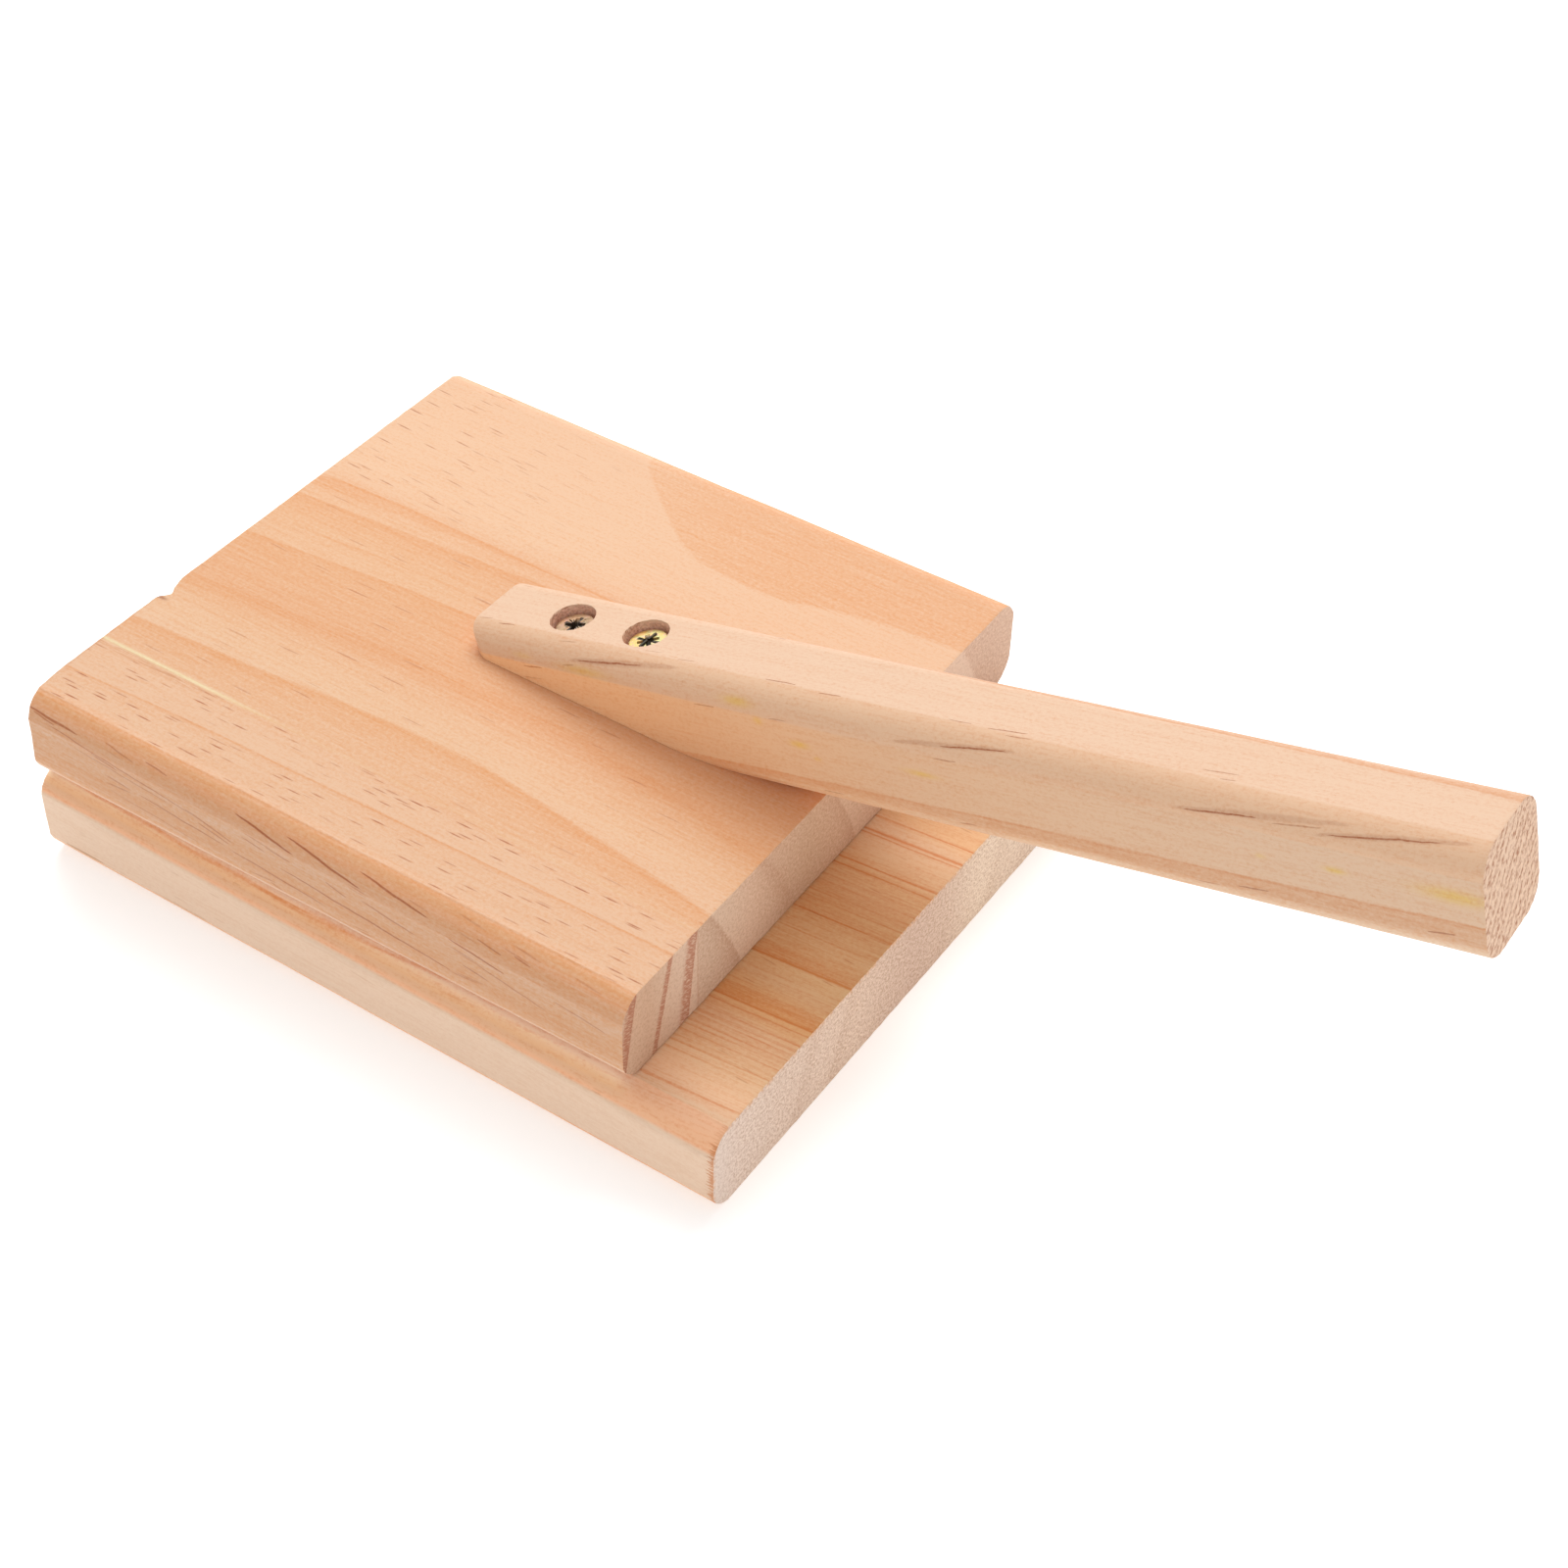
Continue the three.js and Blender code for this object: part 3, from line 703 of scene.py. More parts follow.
class Graph:
    def __init__(self, name):
        self.material = bpy.data.materials.new(name)
        self.material.use_nodes = True
        self.tree = self.material.node_tree
        self.tree.nodes.clear()
        coords = self.new("ShaderNodeTexCoord")
        self.place = Value(self, coords.outputs["Object"])
        self.normal = Value(self, coords.outputs["Normal"])

    def new(self, kind):
        return self.tree.nodes.new(kind)

    def link(self, output, socket):
        self.tree.links.new(output, socket)

    def put(self, value, socket):
        """Links a Value, sets a constant, or leaves the socket alone for None."""
        if isinstance(value, Value):
            self.link(value.socket, socket)
        elif isinstance(value, tuple):
            alpha = (1.0,) if len(value) == 3 and len(socket.default_value) == 4 else ()
            socket.default_value = value + alpha
        elif value is not None:
            socket.default_value = value

    def math(self, operation, *values, clamp=False):
        node = self.new("ShaderNodeMath")
        node.operation, node.use_clamp = operation, clamp
        for value, socket in zip(values, node.inputs):
            self.put(value, socket)
        return Value(self, node.outputs[0])

    def vector(self, *parts):
        node = self.new("ShaderNodeCombineXYZ")
        for part, socket in zip(parts, node.inputs):
            self.put(part, socket)
        return Value(self, node.outputs[0])

    def dot(self, vector, axis, offset=0.0, scale=1.0):
        """Distance of a vector along an axis; a zero offset lays no node."""
        node = self.new("ShaderNodeVectorMath")
        node.operation = "DOT_PRODUCT"
        self.put(vector, node.inputs[0])
        node.inputs[1].default_value = tuple(float(a) * scale for a in axis)
        out = Value(self, node.outputs["Value"])
        return out + offset if offset else out

    def noise(self, place, scale=1.0, detail=2.0, rough=0.5, distort=0.0):
        """Noise at a Value, or at a vector made from a tuple of three."""
        node = self.new("ShaderNodeTexNoise")
        self.put(self.vector(*place) if isinstance(place, tuple) else place,
                 node.inputs["Vector"])
        node.inputs["Scale"].default_value = scale
        node.inputs["Detail"].default_value = detail
        node.inputs["Roughness"].default_value = rough
        node.inputs["Distortion"].default_value = distort
        return Value(self, node.outputs["Fac"])

    def cells(self, *place):
        """Distance to the nearest cell centre, and that cell's random colour."""
        node = self.new("ShaderNodeTexVoronoi")
        self.put(self.vector(*place), node.inputs["Vector"])
        node.inputs["Scale"].default_value = 1.0
        return Value(self, node.outputs["Distance"]), Value(self, node.outputs["Color"])

    def mix(self, factor, a, b, blend="MIX"):
        node = self.new("ShaderNodeMix")
        node.data_type, node.blend_type = "RGBA", blend
        node.clamp_factor = True
        for value, i in ((factor, 0), (a, 6), (b, 7)):
            self.put(value, node.inputs[i])
        return Value(self, node.outputs[2])

    def times(self, a, b):
        return self.mix(1.0, a, b, "MULTIPLY")

    def tinge(self, factor, color, multiplier):
        return self.mix(factor, color, self.times(color, multiplier))

    def tone(self, color, x, stops, start=None):
        """Shades a colour by a run of (x, (r, g, b)) factors, which may be as high as 2."""
        start = stops[0][0] if start is None else start
        width = stops[-1][0] - start
        node = self.new("ShaderNodeValToRGB")
        elements = node.color_ramp.elements
        while len(elements) < len(stops):
            elements.new(0.5)
        for element, (position, _) in zip(elements, stops):
            element.position = (position - start) / width
        for element, (_, factors) in zip(elements, stops):
            element.color = tuple(factor * 0.5 for factor in factors) + (1.0,)
        self.put((x - start) / width, node.inputs[0])
        halved = self.times(color, Value(self, node.outputs[0]))
        return self.times(halved, (2.0, 2.0, 2.0))

    def bump(self, height, distance, strength):
        node = self.new("ShaderNodeBump")
        node.inputs["Strength"].default_value = strength
        node.inputs["Distance"].default_value = distance
        self.put(height, node.inputs["Height"])
        return Value(self, node.outputs[0])

    def finish(self, color, roughness, normal, specular, metallic=0.0, bounce=None, glow=0.0):
        """Principled surface. `bounce` is a plain diffuse colour for all but camera rays."""
        surface = self.new("ShaderNodeBsdfPrincipled")
        for value, name in ((color, "Base Color"), (roughness, "Roughness"),
                            (metallic, "Metallic"), (specular, "Specular IOR Level"),
                            (normal, "Normal")):
            self.put(value, surface.inputs[name])
        if glow:
            surface.inputs["Emission Color"].default_value = (1, 1, 1, 1)
            surface.inputs["Emission Strength"].default_value = glow
        output = self.new("ShaderNodeOutputMaterial")
        if bounce is None:
            self.link(surface.outputs[0], output.inputs["Surface"])
            return self.material
        diffuse = self.new("ShaderNodeBsdfDiffuse")
        self.put(bounce, diffuse.inputs["Color"])
        path = self.new("ShaderNodeLightPath")
        choice = self.new("ShaderNodeMixShader")
        self.link(path.outputs["Is Camera Ray"], choice.inputs[0])
        self.link(diffuse.outputs[0], choice.inputs[1])
        self.link(surface.outputs[0], choice.inputs[2])
        self.link(choice.outputs[0], output.inputs["Surface"])
        return self.material


def seen(r, g, b, light=1.30):
    """Albedo of a face that shows this sRGB colour; 1.30 is the light on a level face."""
    return tuple(min(0.9, ((c / 255 + 0.055) / 1.055) ** 2.4 / light) for c in (r, g, b))


def tint(color, factors):
    return tuple(a * b for a, b in zip(color, factors))


def bell(offset, sharpness):
    """Peak of 1 where offset() is zero. Each of the two calls lays its own nodes."""
    return (offset() * offset() * -sharpness).exp()


def hair(x, at, width, strength):
    """A thin line where x passes a value."""
    offset = (x - at) * (1.0 / width)
    return (offset * offset * -1.0).exp() * strength


def after(x, previous):
    """x, worked out once `previous` is known, so that long runs of marks stay cheap."""
    return x if previous is None else previous.times_plus(1e-9, x)


def phase(x, lines):
    """0 at the first line, 1 at the second, and so on, straight between them."""
    parts = []
    for a, b in zip(lines, lines[1:]):
        width = b - a
        parts.append((x - a).math("DIVIDE", width, clamp=True))
    return reduce(add, parts)


def streak(x, y, x0, y0, x1, y1, width, strength):
    """A tapering streak from (x0, y0) to (x1, y1)."""
    dx, dy = x1 - x0, y1 - y0
    length = math.hypot(dx, dy)
    dx, dy = dx / length, dy / length
    from_x, from_y = x - x0, y - y0
    part = (from_x * dx + from_y * dy) / length
    off = (from_y * dx - from_x * dy).abs()
    inside = (part * (1.0 - part)).math("MULTIPLY", 4.0, clamp=True)
    taper = inside.math("SQRT") * width + 1e-4
    return (off / taper).step(0.35, 1.05, strength, 0.0) * inside.step(0.0, 0.3)


def streaks(x, y, table):
    total = None
    for row in table:
        mark = streak(after(x, total), y, *row)
        total = mark if total is None else total.max(mark)
    return total


def dashes(g, along, across, deep, length, thick, keep, seed, core=0.16, rim=0.34):
    """Flecks lying along the grain; `keep` is the share of cells that hold one."""
    distance, color = g.cells(along / length + seed, across / thick, deep / thick)
    chance, strength, _ = color.split()
    return (distance.fall(core, rim) * chance.step(1.0 - keep, 1.0 - keep + 0.02)
            * (0.45 + 0.55 * strength))


def wood_coords(g, origin, yaw=0.0):
    """Distances in mm along the board, across it from the front, and down from its top."""
    c, s = math.cos(yaw), math.sin(yaw)
    return (g.dot(g.place, (c, s, 0), -(origin[0] * c + origin[1] * s), 1000),
            g.dot(g.place, (-s, c, 0), origin[0] * s - origin[1] * c, 1000),
            g.dot(g.place, (0, 0, -1), origin[2], 1000))


def way_round(across, deep):
    """Distance along the section from where the top's round-over starts, then down the side."""
    angle = (ROUND - across).max(0.0).math("ARCTAN2", (ROUND - deep).max(0.0))
    return angle * ROUND + (deep - ROUND).max(0.0) - (across - ROUND).max(0.0)


def way_from_nearest(across, deep, width, thick):
    """The same, from whichever long edge of the board is nearest."""
    return way_round(across.min(width - across), deep.min(thick - deep))


def grain_noise(g, along, across, deep, seed=0.0):
    """Long soft grain, fine grain, and short specks."""
    return (
        g.noise((along * 0.03 + seed, across * 1.3, deep * 1.3), detail=4.0, rough=0.66),
        g.noise((along * 0.14 + seed, across * 2.6, deep * 2.6), rough=0.6),
        g.noise((along * 1.15 + seed, across * 1.7, deep * 1.7), detail=3.0, rough=0.74))


def end_pattern(g, across, deep, seed):
    """Pores and fuzz of sawn end grain."""
    return (g.noise((across * 1.5, deep * 1.5, seed), detail=4.0, rough=0.72),
            g.noise((across * 3.6 + seed, deep * 3.6, 3.0), rough=0.7))


def blend(side, end_side, end):
    return (end_side - side).times_plus(end, side)


# --------------------------------------------------------------- upper board
WHITE = (1.0, 1.0, 1.0)

# ring lines: (distance along, distance from the back edge)
LID_LINES = dict(
    first=[(0, 48.3), (5, 47.3), (10, 46.8), (20, 46.5), (45, 46.6), (70, 46.8), (100, 47.2),
           (140, 48)],
    first_band_end=[(0, 51.6), (10, 50.8), (20, 50.0), (30, 49.2), (45, 48.3), (70, 47.6),
                    (140, 48.8)],
    second=[(0, 55.2), (10, 54.4), (20, 53.6), (30, 52.9), (40, 52.1), (50, 51.4), (60, 50.7),
            (80, 50.2), (140, 51)],
    third=[(0, 71), (8, 70.3), (25, 68.6), (45, 66.9), (56, 66.4), (75, 66), (100, 66.3),
           (140, 68)],
    fourth=[(0, 88), (8, 87.0), (25, 85.5), (45, 84.0), (60, 83.5), (75, 83.2), (90, 82.7),
            (100, 83.6), (115, 85.3), (130, 87.5), (140, 89.5)],
    fifth=[(0, 104), (8, 103.3), (20, 102.6), (30, 102.1), (45, 100.7), (60, 99.9), (70, 99.5),
           (80, 99.5), (90, 100.3), (100, 101.4), (115, 103.5), (130, 105.6), (140, 107.4)],
    arch=[(0, -12), (40, -12), (50, -5), (53, 1.5), (55, 6), (58, 9.5), (62, 13), (66, 16.5),
          (70, 19.8), (75, 23.5), (80, 26), (86, 27.7), (92, 28.2), (100, 27.8), (105, 27),
          (110, 25.4), (115, 24), (120, 23), (130, 21.8), (140, 20.7)],
    front=[(0, 121.9), (8, 121.6), (25, 120.8), (45, 120.2), (70, 119.8), (100, 119.2),
           (130, 118.7), (140, 118.5)])
# darkness of the grain: (phase between ring lines, darkness)
LID_BACK_GRAIN = [
    (0, .03), (.55, .04), (.85, .08), (.97, .11), (1.0, .26), (1.5, .25), (1.9, .22),
    (1.985, .20), (2.0, .62), (2.08, .56), (2.25, .44), (2.45, .34), (2.7, .27), (2.93, .22),
    (2.985, .21), (3.0, .62), (3.05, .56), (3.15, .48), (3.3, .45), (3.6, .45), (3.9, .46),
    (3.97, .48), (4.0, .60), (4.06, .60), (4.13, .52), (4.25, .38), (4.4, .28), (4.6, .20),
    (4.8, .15), (4.95, .13), (4.985, .13), (5.0, .70), (5.05, .62), (5.15, .47), (5.3, .37),
    (5.5, .33), (5.7, .33), (6.0, .38)]
LID_FRONT_GRAIN = [
    (0, .30), (.15, .26), (.3, .18), (.6, .11), (.9, .05), (.985, .04), (1.0, .34), (1.06, .30),
    (1.2, .19), (1.5, .16), (1.9, .16), (1.985, .18), (2.0, .55), (2.15, .55), (2.5, .46),
    (3.0, .40)]
# dark streaks round the front edge: start (along, way round), end, width, strength
LID_STREAKS = [
    (0, 4.4, 14, 5.2, .40, .8), (2, 5.0, 8, 5.6, .25, .6), (20, 3.9, 28, 5.0, .22, .5),
    (30, 3.6, 36, 4.2, .24, .6), (52, 4.4, 67, 7.0, .36, .95), (64, 3.8, 83, 6.8, .36, .95),
    (81, 3.3, 98, 5.7, .34, .9), (108, 4.6, 114, 5.4, .24, .6), (116, 4.2, 120, 4.9, .24, .6),
    (17, 7.6, 24, 8.8, .3, .55), (5, 5.9, 44, 10.2, .24, .6), (12, 8.4, 38, 10.6, .22, .45),
    (40, 9.4, 52, 12.1, .3, .6), (54, 9.0, 60, 10.0, .26, .55), (60, 8.4, 66, 9.2, .26, .6),
    (43, 11.4, 51, 12.9, .26, .6), (28, 12.2, 50, 14.0, .26, .6), (50, 14.2, 74, 16.2, .28, .6),
    (62, 12.0, 104, 15.8, .3, .7), (20, 15.2, 44, 17.0, .2, .35),
    (70, 17.6, 110, 19.6, .2, .35), (74, 9.2, 79, 10.8, .26, .6), (82, 9.4, 95, 11.3, .28, .6),
    (102, 7.2, 115, 9.2, .32, .85), (105, 12.3, 111, 13.3, .26, .6),
    (60, 17.4, 64, 18.3, .24, .5), (108, 10.3, 124, 13.2, .26, .5),
    (125, 9.5, 137, 11.0, .28, .45)]
# colour factors, by way round the nearest edge, way round the front edge, and from the back
# The first table is partly painted light: the round-overs are lightened next to the broad faces.
LID_EDGE_TONE_AND_LIGHT = [
    (-2.0, WHITE), (0.0, (1.06, 1.05, 1.06)), (0.4, (1.12, 1.11, 1.13)),
    (1.2, (1.05, 1.02, 0.97)), (2.0, (1.04, 0.99, 0.93)), (3.5, (1.06, 1.01, 1.01)),
    (4.3, (1.02, 0.99, 1.0)), (5.1, (0.97, 0.95, 0.93)), (6.7, (0.94, 0.95, 0.98)),
    (8.0, (0.945, 0.97, 1.0)), (24.0, (0.945, 0.96, 0.95))]
# The stops of the second table from 17.5 on are a painted highlight along the foot of the front
# face.
LID_FRONT = [
    (0.0, WHITE), (7.0, WHITE), (8.5, (0.97, 1.03, 1.10)), (12.0, (0.97, 1.02, 1.08)),
    (13.5, (0.96, 0.97, 0.97)), (16.0, (0.97, 0.97, 0.97)), (17.5, (1.03, 1.10, 1.18)),
    (19.5, (1.14, 1.28, 1.42)), (24.0, (1.14, 1.28, 1.42))]
LID_ACROSS = [
    (0.0, WHITE), (40.0, (1.02, 1.04, 1.04)), (46.0, (1.0, 0.99, 0.97)),
    (62.0, (1.0, 1.0, 0.96)), (86.0, (1.01, 0.99, 0.96)), (92.0, (1.02, 1.03, 1.01)),
    (99.0, (1.03, 1.06, 1.05)), (103.0, (1.03, 1.06, 1.07)), (131.0, (1.02, 1.05, 1.06)),
    (134.0, (1.01, 1.02, 1.04))]
LID_END_ACROSS = [
    (0.0, (1.1, 1.2, 1.28)), (16.0, (1.1, 1.2, 1.28)), (40.0, WHITE),
    (75.0, (0.84, 0.85, 0.78)), (95.0, (0.94, 0.98, 0.98)), (107.0, (0.90, 0.98, 1.0)),
    (116.0, (0.94, 1.0, 1.03)), (122.0, (0.88, 0.89, 0.87)), (126.0, (0.82, 0.78, 0.73)),
    (134.0, (0.82, 0.78, 0.73))]
LID_END = tint(seen(212, 174, 150, 0.69), (0.89, 0.88, 0.87))


def lid_material():
    """Two staves glued edge to edge."""
    g = Graph("pine_upper_board")
    along, across, deep = wood_coords(g, (lid_lo[0], lid_lo[1], lid_hi[2]), YAW)
    from_back = float(LID_W) - across
    on_back = across.step(22.62, 22.78)
    lines = {name: along.curve(points, 0.0, LID_L) for name, points in LID_LINES.items()}
    first, fifth, front_line = lines["first"], lines["fifth"], lines["front"]

    # ring coordinates of the back and front staves
    warp = (g.noise((along * 0.028, across * 0.06, deep * 0.06)) - 0.5) * 1.1
    waver = (g.noise((along * 0.12, across * 0.5, deep * 0.5)) - 0.5) * 0.35
    ring = from_back + deep * 0.6 - deep * deep * 0.006 + warp + waver
    front_ring = from_back - deep * 0.27 + warp * 0.4 + waver * 0.6

    # back stave: rings, first band, arched figure near the back edge, thin grey streak
    back_dark = phase(ring, [first * 0.0, first, lines["second"], lines["third"],
                             lines["fourth"], fifth, fifth * 0.0 + 124.0])
    back_dark = back_dark.curve(LID_BACK_GRAIN, 0.0, 6.0, 0.0, 1.0)
    band = (ring - first).step(-0.2, 0.25) * (ring - lines["first_band_end"]).fall(-0.8, 0.4)
    back_dark = back_dark + band * 0.26 + bell(lambda: ring - first - 0.25, 9.0) * 0.22
    inside = (ring - lines["arch"]).fall(-0.9, 0.8)
    patches = g.noise((along * 0.02, across * 0.1, deep * 0.1), detail=1.0)
    back_dark = back_dark + (inside * along.ramp(52.0, 96.0, 0.28, 0.44)
                             * (0.92 + 0.16 * patches))
    back_dark = back_dark + (bell(lambda: ring - 64.3 + along * 0.065, 14.0)
                             * along.step(8.0, 22.0) * along.fall(50.0, 62.0) * 0.22)

    front_dark = phase(front_ring, [front_line * 0.0 + 111.3, front_line,
                                    front_line * 0.0 + 129.6, front_line * 0.0 + 137.6])
    front_dark = front_dark.curve(LID_FRONT_GRAIN, 0.0, 3.0, 0.0, 1.0)

    dark = back_dark * on_back + front_dark * (1.0 - on_back)
    broad, fine, specks = grain_noise(g, along, ring, deep)
    dark = dark + (broad - 0.5) * 0.9 + (fine - 0.5) * 0.55 + (specks - 0.5) * 1.6
    glue_line = bell(lambda: across - 22.1, 22.0)
    dark = dark + (hair(front_ring - front_line, 0.12, 0.24, 0.32)
                   + hair(front_ring, 129.75, 0.24, 0.14)) * (1.0 - on_back)
    dark = (dark + glue_line * along.step(6.0, 80.0, 0.9, 0.15)
            * g.noise((along * 0.1, 0.0, 0.0))).clamp()

    light_wood = tint(seen(251, 208, 174), (1.04, 1.0, 0.945))
    color = g.mix(dark, light_wood, tint(light_wood, (0.91, 0.62, 0.36)))
    color = g.times(color, g.mix(on_back, (0.935, 0.915, 0.91), (1, 1, 1)))
    # the back stave is a touch duller towards its front
    dull = from_back.ramp(48.0, 108.0) * on_back
    color = g.tinge(dull, color, (0.94, 0.935, 0.93))
    # pale glue squeeze at the hinge end, with a brown smudge beside it
    squeeze = (bell(lambda: from_back - 111.75, 5.5) * along.step(18.0, 52.0, 1.0, 0.12)
               * deep.fall(0.0, 2.0))
    blots = g.noise((along * 1.2, across * 3.0, deep), rough=0.6)
    squeeze = (squeeze * (0.3 + 1.3 * blots)).clamp()
    color = g.mix((squeeze * 1.1).clamp(), color, seen(255, 231, 184))
    smudge = (bell(lambda: from_back - 112.9, 1.2) * along.fall(18.0, 34.0)
              * fine.step(0.42, 0.62) * (1.0 - on_back) * deep.fall(0.0, 2.0))
    color = g.mix(smudge * 0.5, color, tint(light_wood, (0.60, 0.36, 0.22)))

    # flecks near the back edge, on the middle and on the front stave
    back_zone = from_back.fall(44.0, 47.0) * along.ramp(4.0, 62.0, 1.0, 0.0)
    back_flecks = dashes(g, along, from_back - along * 0.07, deep, length=9.5, thick=0.8,
                         keep=0.75, seed=3.0, core=0.10, rim=0.30) * back_zone * 0.9
    mid_flecks = dashes(g, along, ring, deep, length=11.0, thick=0.7, keep=0.14,
                        seed=8.0) * on_back * from_back.step(45.0, 48.0) * 0.5
    front_zone = (1.0 - on_back) * from_back.step(111.8, 113.0) * (
        1.0 - 0.75 * from_back.step(117.6, 118.2) * from_back.fall(121.2, 121.8))
    front_flecks = dashes(g, along, from_back + along * 0.015, deep, length=8.0, thick=0.72,
                          keep=0.80, seed=5.0, core=0.10, rim=0.31) * front_zone
    nearest_way = way_from_nearest(across, deep, float(LID_W), float(LID_T))
    on_top = nearest_way.fall(-0.3, 0.1)
    side = 1.0 - on_top
    front_side = side * across.fall(8.0, 9.0)
    flecks = back_flecks.max(mid_flecks).max(front_flecks * on_top)
    # long dark streaks round the front edge
    front_way = way_round(across, deep)
    wavy = front_way + (g.noise((along * 0.11, 3.0, 1.0)) - 0.5) * 0.9
    front_streaks = streaks(along, wavy, LID_STREAKS) * front_side
    side_flecks = dashes(g, along, nearest_way * 1.0 - along * 0.1, deep * 0.0, length=12.0,
                         thick=0.8, keep=0.30, seed=12.0) * side * 0.5
    flecks = flecks.max(front_streaks.max(side_flecks))
    color = g.mix((flecks * (0.65 + 0.6 * specks)).clamp(), color,
                  tint(light_wood, (0.50, 0.22, 0.12)))

    # dark patches along the hinge end's rim, and the foot of the missing splinter
    rim_patches = (along.fall(0.15, 1.1)
             * g.noise((along * 0.3, across * 0.5, deep * 0.7)).step(0.35, 0.6))
    splinter = (bell(lambda: across - 37.55, 5.0) * along.fall(1.6, 3.6)
                * deep.step(0.0, 3.0, 1.0, 0.35))
    color = g.mix(splinter * 0.8, color, tint(light_wood, (0.42, 0.22, 0.13)))
    # darkens the hinge end's rim in patches
    color = g.tinge(rim_patches * 0.5, color, (0.66, 0.46, 0.36))
    # painted light: the round-overs lightened next to the broad faces
    color = g.tone(color, nearest_way, LID_EDGE_TONE_AND_LIGHT)
    # this tone includes a painted highlight along the foot of the front face
    color = g.mix(front_side, color, g.tone(color, front_way, LID_FRONT))
    color = g.tone(color, from_back, LID_ACROSS)

    # end grain
    end = g.dot(g.normal, (math.cos(YAW), math.sin(YAW), 0)).abs().step(0.55, 0.85)
    pores, fuzz = end_pattern(g, across, deep, 2.0)
    bands = []
    for line, width in ((front_line * 0.0 + 111.35 - deep * 0.12, 3.4), (front_line + 0.3, 1.7),
                        (front_line * 0.0 + 129.6 - deep * 0.06, 3.0)):
        past = front_ring - line
        bands.append(past.step(-0.15, 0.15) * past.fall(width * 0.5, width * 1.1)
                     + bell(lambda: past - 0.15, 18.0) * 0.8)
    hatch = g.noise((across * 0.6 + deep * 0.35, deep * 3.1 - across * 1.5, 1.0), rough=0.6)
    end_bands = (reduce(add, bands) * (1.0 - on_back)
                 * hatch.step(0.38, 0.56, 0.22, 1.25)).clamp()
    end_dark = ((back_dark * 1.15 - 0.1) * on_back + (pores - 0.5) * 3.0 + (fuzz - 0.5) * 1.4
                + 0.15 + bell(lambda: ring - first - 0.1, 3.0) * 0.3 * on_back).clamp()
    end_color = g.mix(end_dark, LID_END, tint(LID_END, (0.72, 0.60, 0.54)))
    end_color = g.mix(end_bands * 0.95, end_color, tint(LID_END, (0.66, 0.40, 0.33)))
    end_color = g.tone(end_color, from_back, LID_END_ACROSS)
    end_color = g.mix(bell(lambda: across - 22.7, 40.0) * 0.5, end_color,
                      tint(LID_END, (0.62, 0.42, 0.36)))
    color = g.mix(end, color, end_color)

    relief = blend(fine * 0.5 + specks * 0.6, pores * 1.6 + fuzz * 1.2, end)
    return g.finish(color, roughness=fine.times_plus(0.14, 0.52) + end * 0.2,
                    normal=g.bump(relief, distance=0.00006, strength=0.9),
                    specular=0.28, bounce=(0.78, 0.45, 0.27))


# ---------------------------------------------------------------- base board
# darkness of the grain: (ring coordinate, darkness)
BASE_GRAIN = [
    (0, .02), (5.9, .05), (6.5, .07), (6.9, .26), (7.3, .06), (12, .04), (14, .10), (20, .18),
    (28.6, .20), (29.55, .16), (29.7, .60), (30.4, .56), (32.4, .52), (33.6, .28), (37, .16),
    (41.9, .14), (42.2, .62), (43.2, .60), (44.8, .56), (46, .32), (49, .24), (55, .26),
    (56, .36), (62, .34), (69, .22), (69.9, .34), (70.5, .22), (71.3, .12), (71.9, .42),
    (72.4, .28), (77, .12), (79.6, .12), (80.0, .34), (80.5, .10), (81.0, .40), (81.8, .16),
    (84.6, .10), (85.1, .26), (85.6, .10), (97, .16), (98, .45), (101, .30), (110, .12),
    (111, .40), (114, .22), (123, .08), (124, .36), (128, .18), (134, .10), (142, .08)]
# thin ring lines: ring coordinate, width, strength
BASE_HAIRS = [
    (6.9, .28, .25), (14.2, .2, .2), (16.0, .2, .22), (17.1, .2, .16), (18.9, .2, .24),
    (20.4, .18, .16), (21.6, .2, .28), (23.2, .2, .2), (24.1, .18, .2), (25.6, .2, .3),
    (26.9, .18, .2), (28.2, .2, .22), (29.75, .22, .35), (38.6, .2, .12), (42.3, .22, .35),
    (50.5, .25, .12), (56.0, .25, .3), (59.4, .2, .14), (66.2, .22, .16), (70.0, .24, .34),
    (71.8, .26, .42), (80.0, .22, .34), (81.0, .22, .42), (85.1, .22, .3), (98.0, .4, .3)]
# start (along, way round), end, width, strength
BASE_STREAKS = [(4, 18.1, 15, 18.0, .45, .8), (28, 18.3, 42, 18.1, .35, .5),
                (78, 9.3, 84, 9.9, .25, .25), (118, 9.0, 140, 10.4, .2, .12)]
# colour factors across the board from the front, partly painted shade and reflected orange light
BASE_ACROSS_AND_SHADE = [
    (0.0, WHITE), (3.5, (0.87, 0.87, 0.88)), (10.0, (0.97, 1.01, 1.0)),
    (17.0, (0.87, 0.92, 0.86)), (25.0, (0.81, 0.82, 0.76)), (31.0, (0.78, 0.72, 0.49)),
    (37.0, (0.77, 0.78, 0.67)), (43.0, (0.82, 0.87, 0.73)), (50.0, (0.83, 0.88, 0.76)),
    (59.0, (0.76, 0.76, 0.60)), (65.0, (0.73, 0.72, 0.59)), (70.5, (0.71, 0.71, 0.57)),
    (75.0, (0.75, 0.76, 0.68)), (83.0, (0.87, 0.93, 0.92)), (87.0, (0.92, 0.92, 0.79)),
    (142.0, WHITE)]
BASE_END_ACROSS = [
    (0.0, (0.98, 1.02, 1.08)), (12.0, (0.98, 1.02, 1.06)), (45.0, (1.0, 1.0, 0.98)),
    (66.0, (0.86, 0.82, 0.80)), (76.0, (0.88, 0.85, 0.82)), (90.0, (1.04, 1.08, 1.04)),
    (142.0, WHITE)]
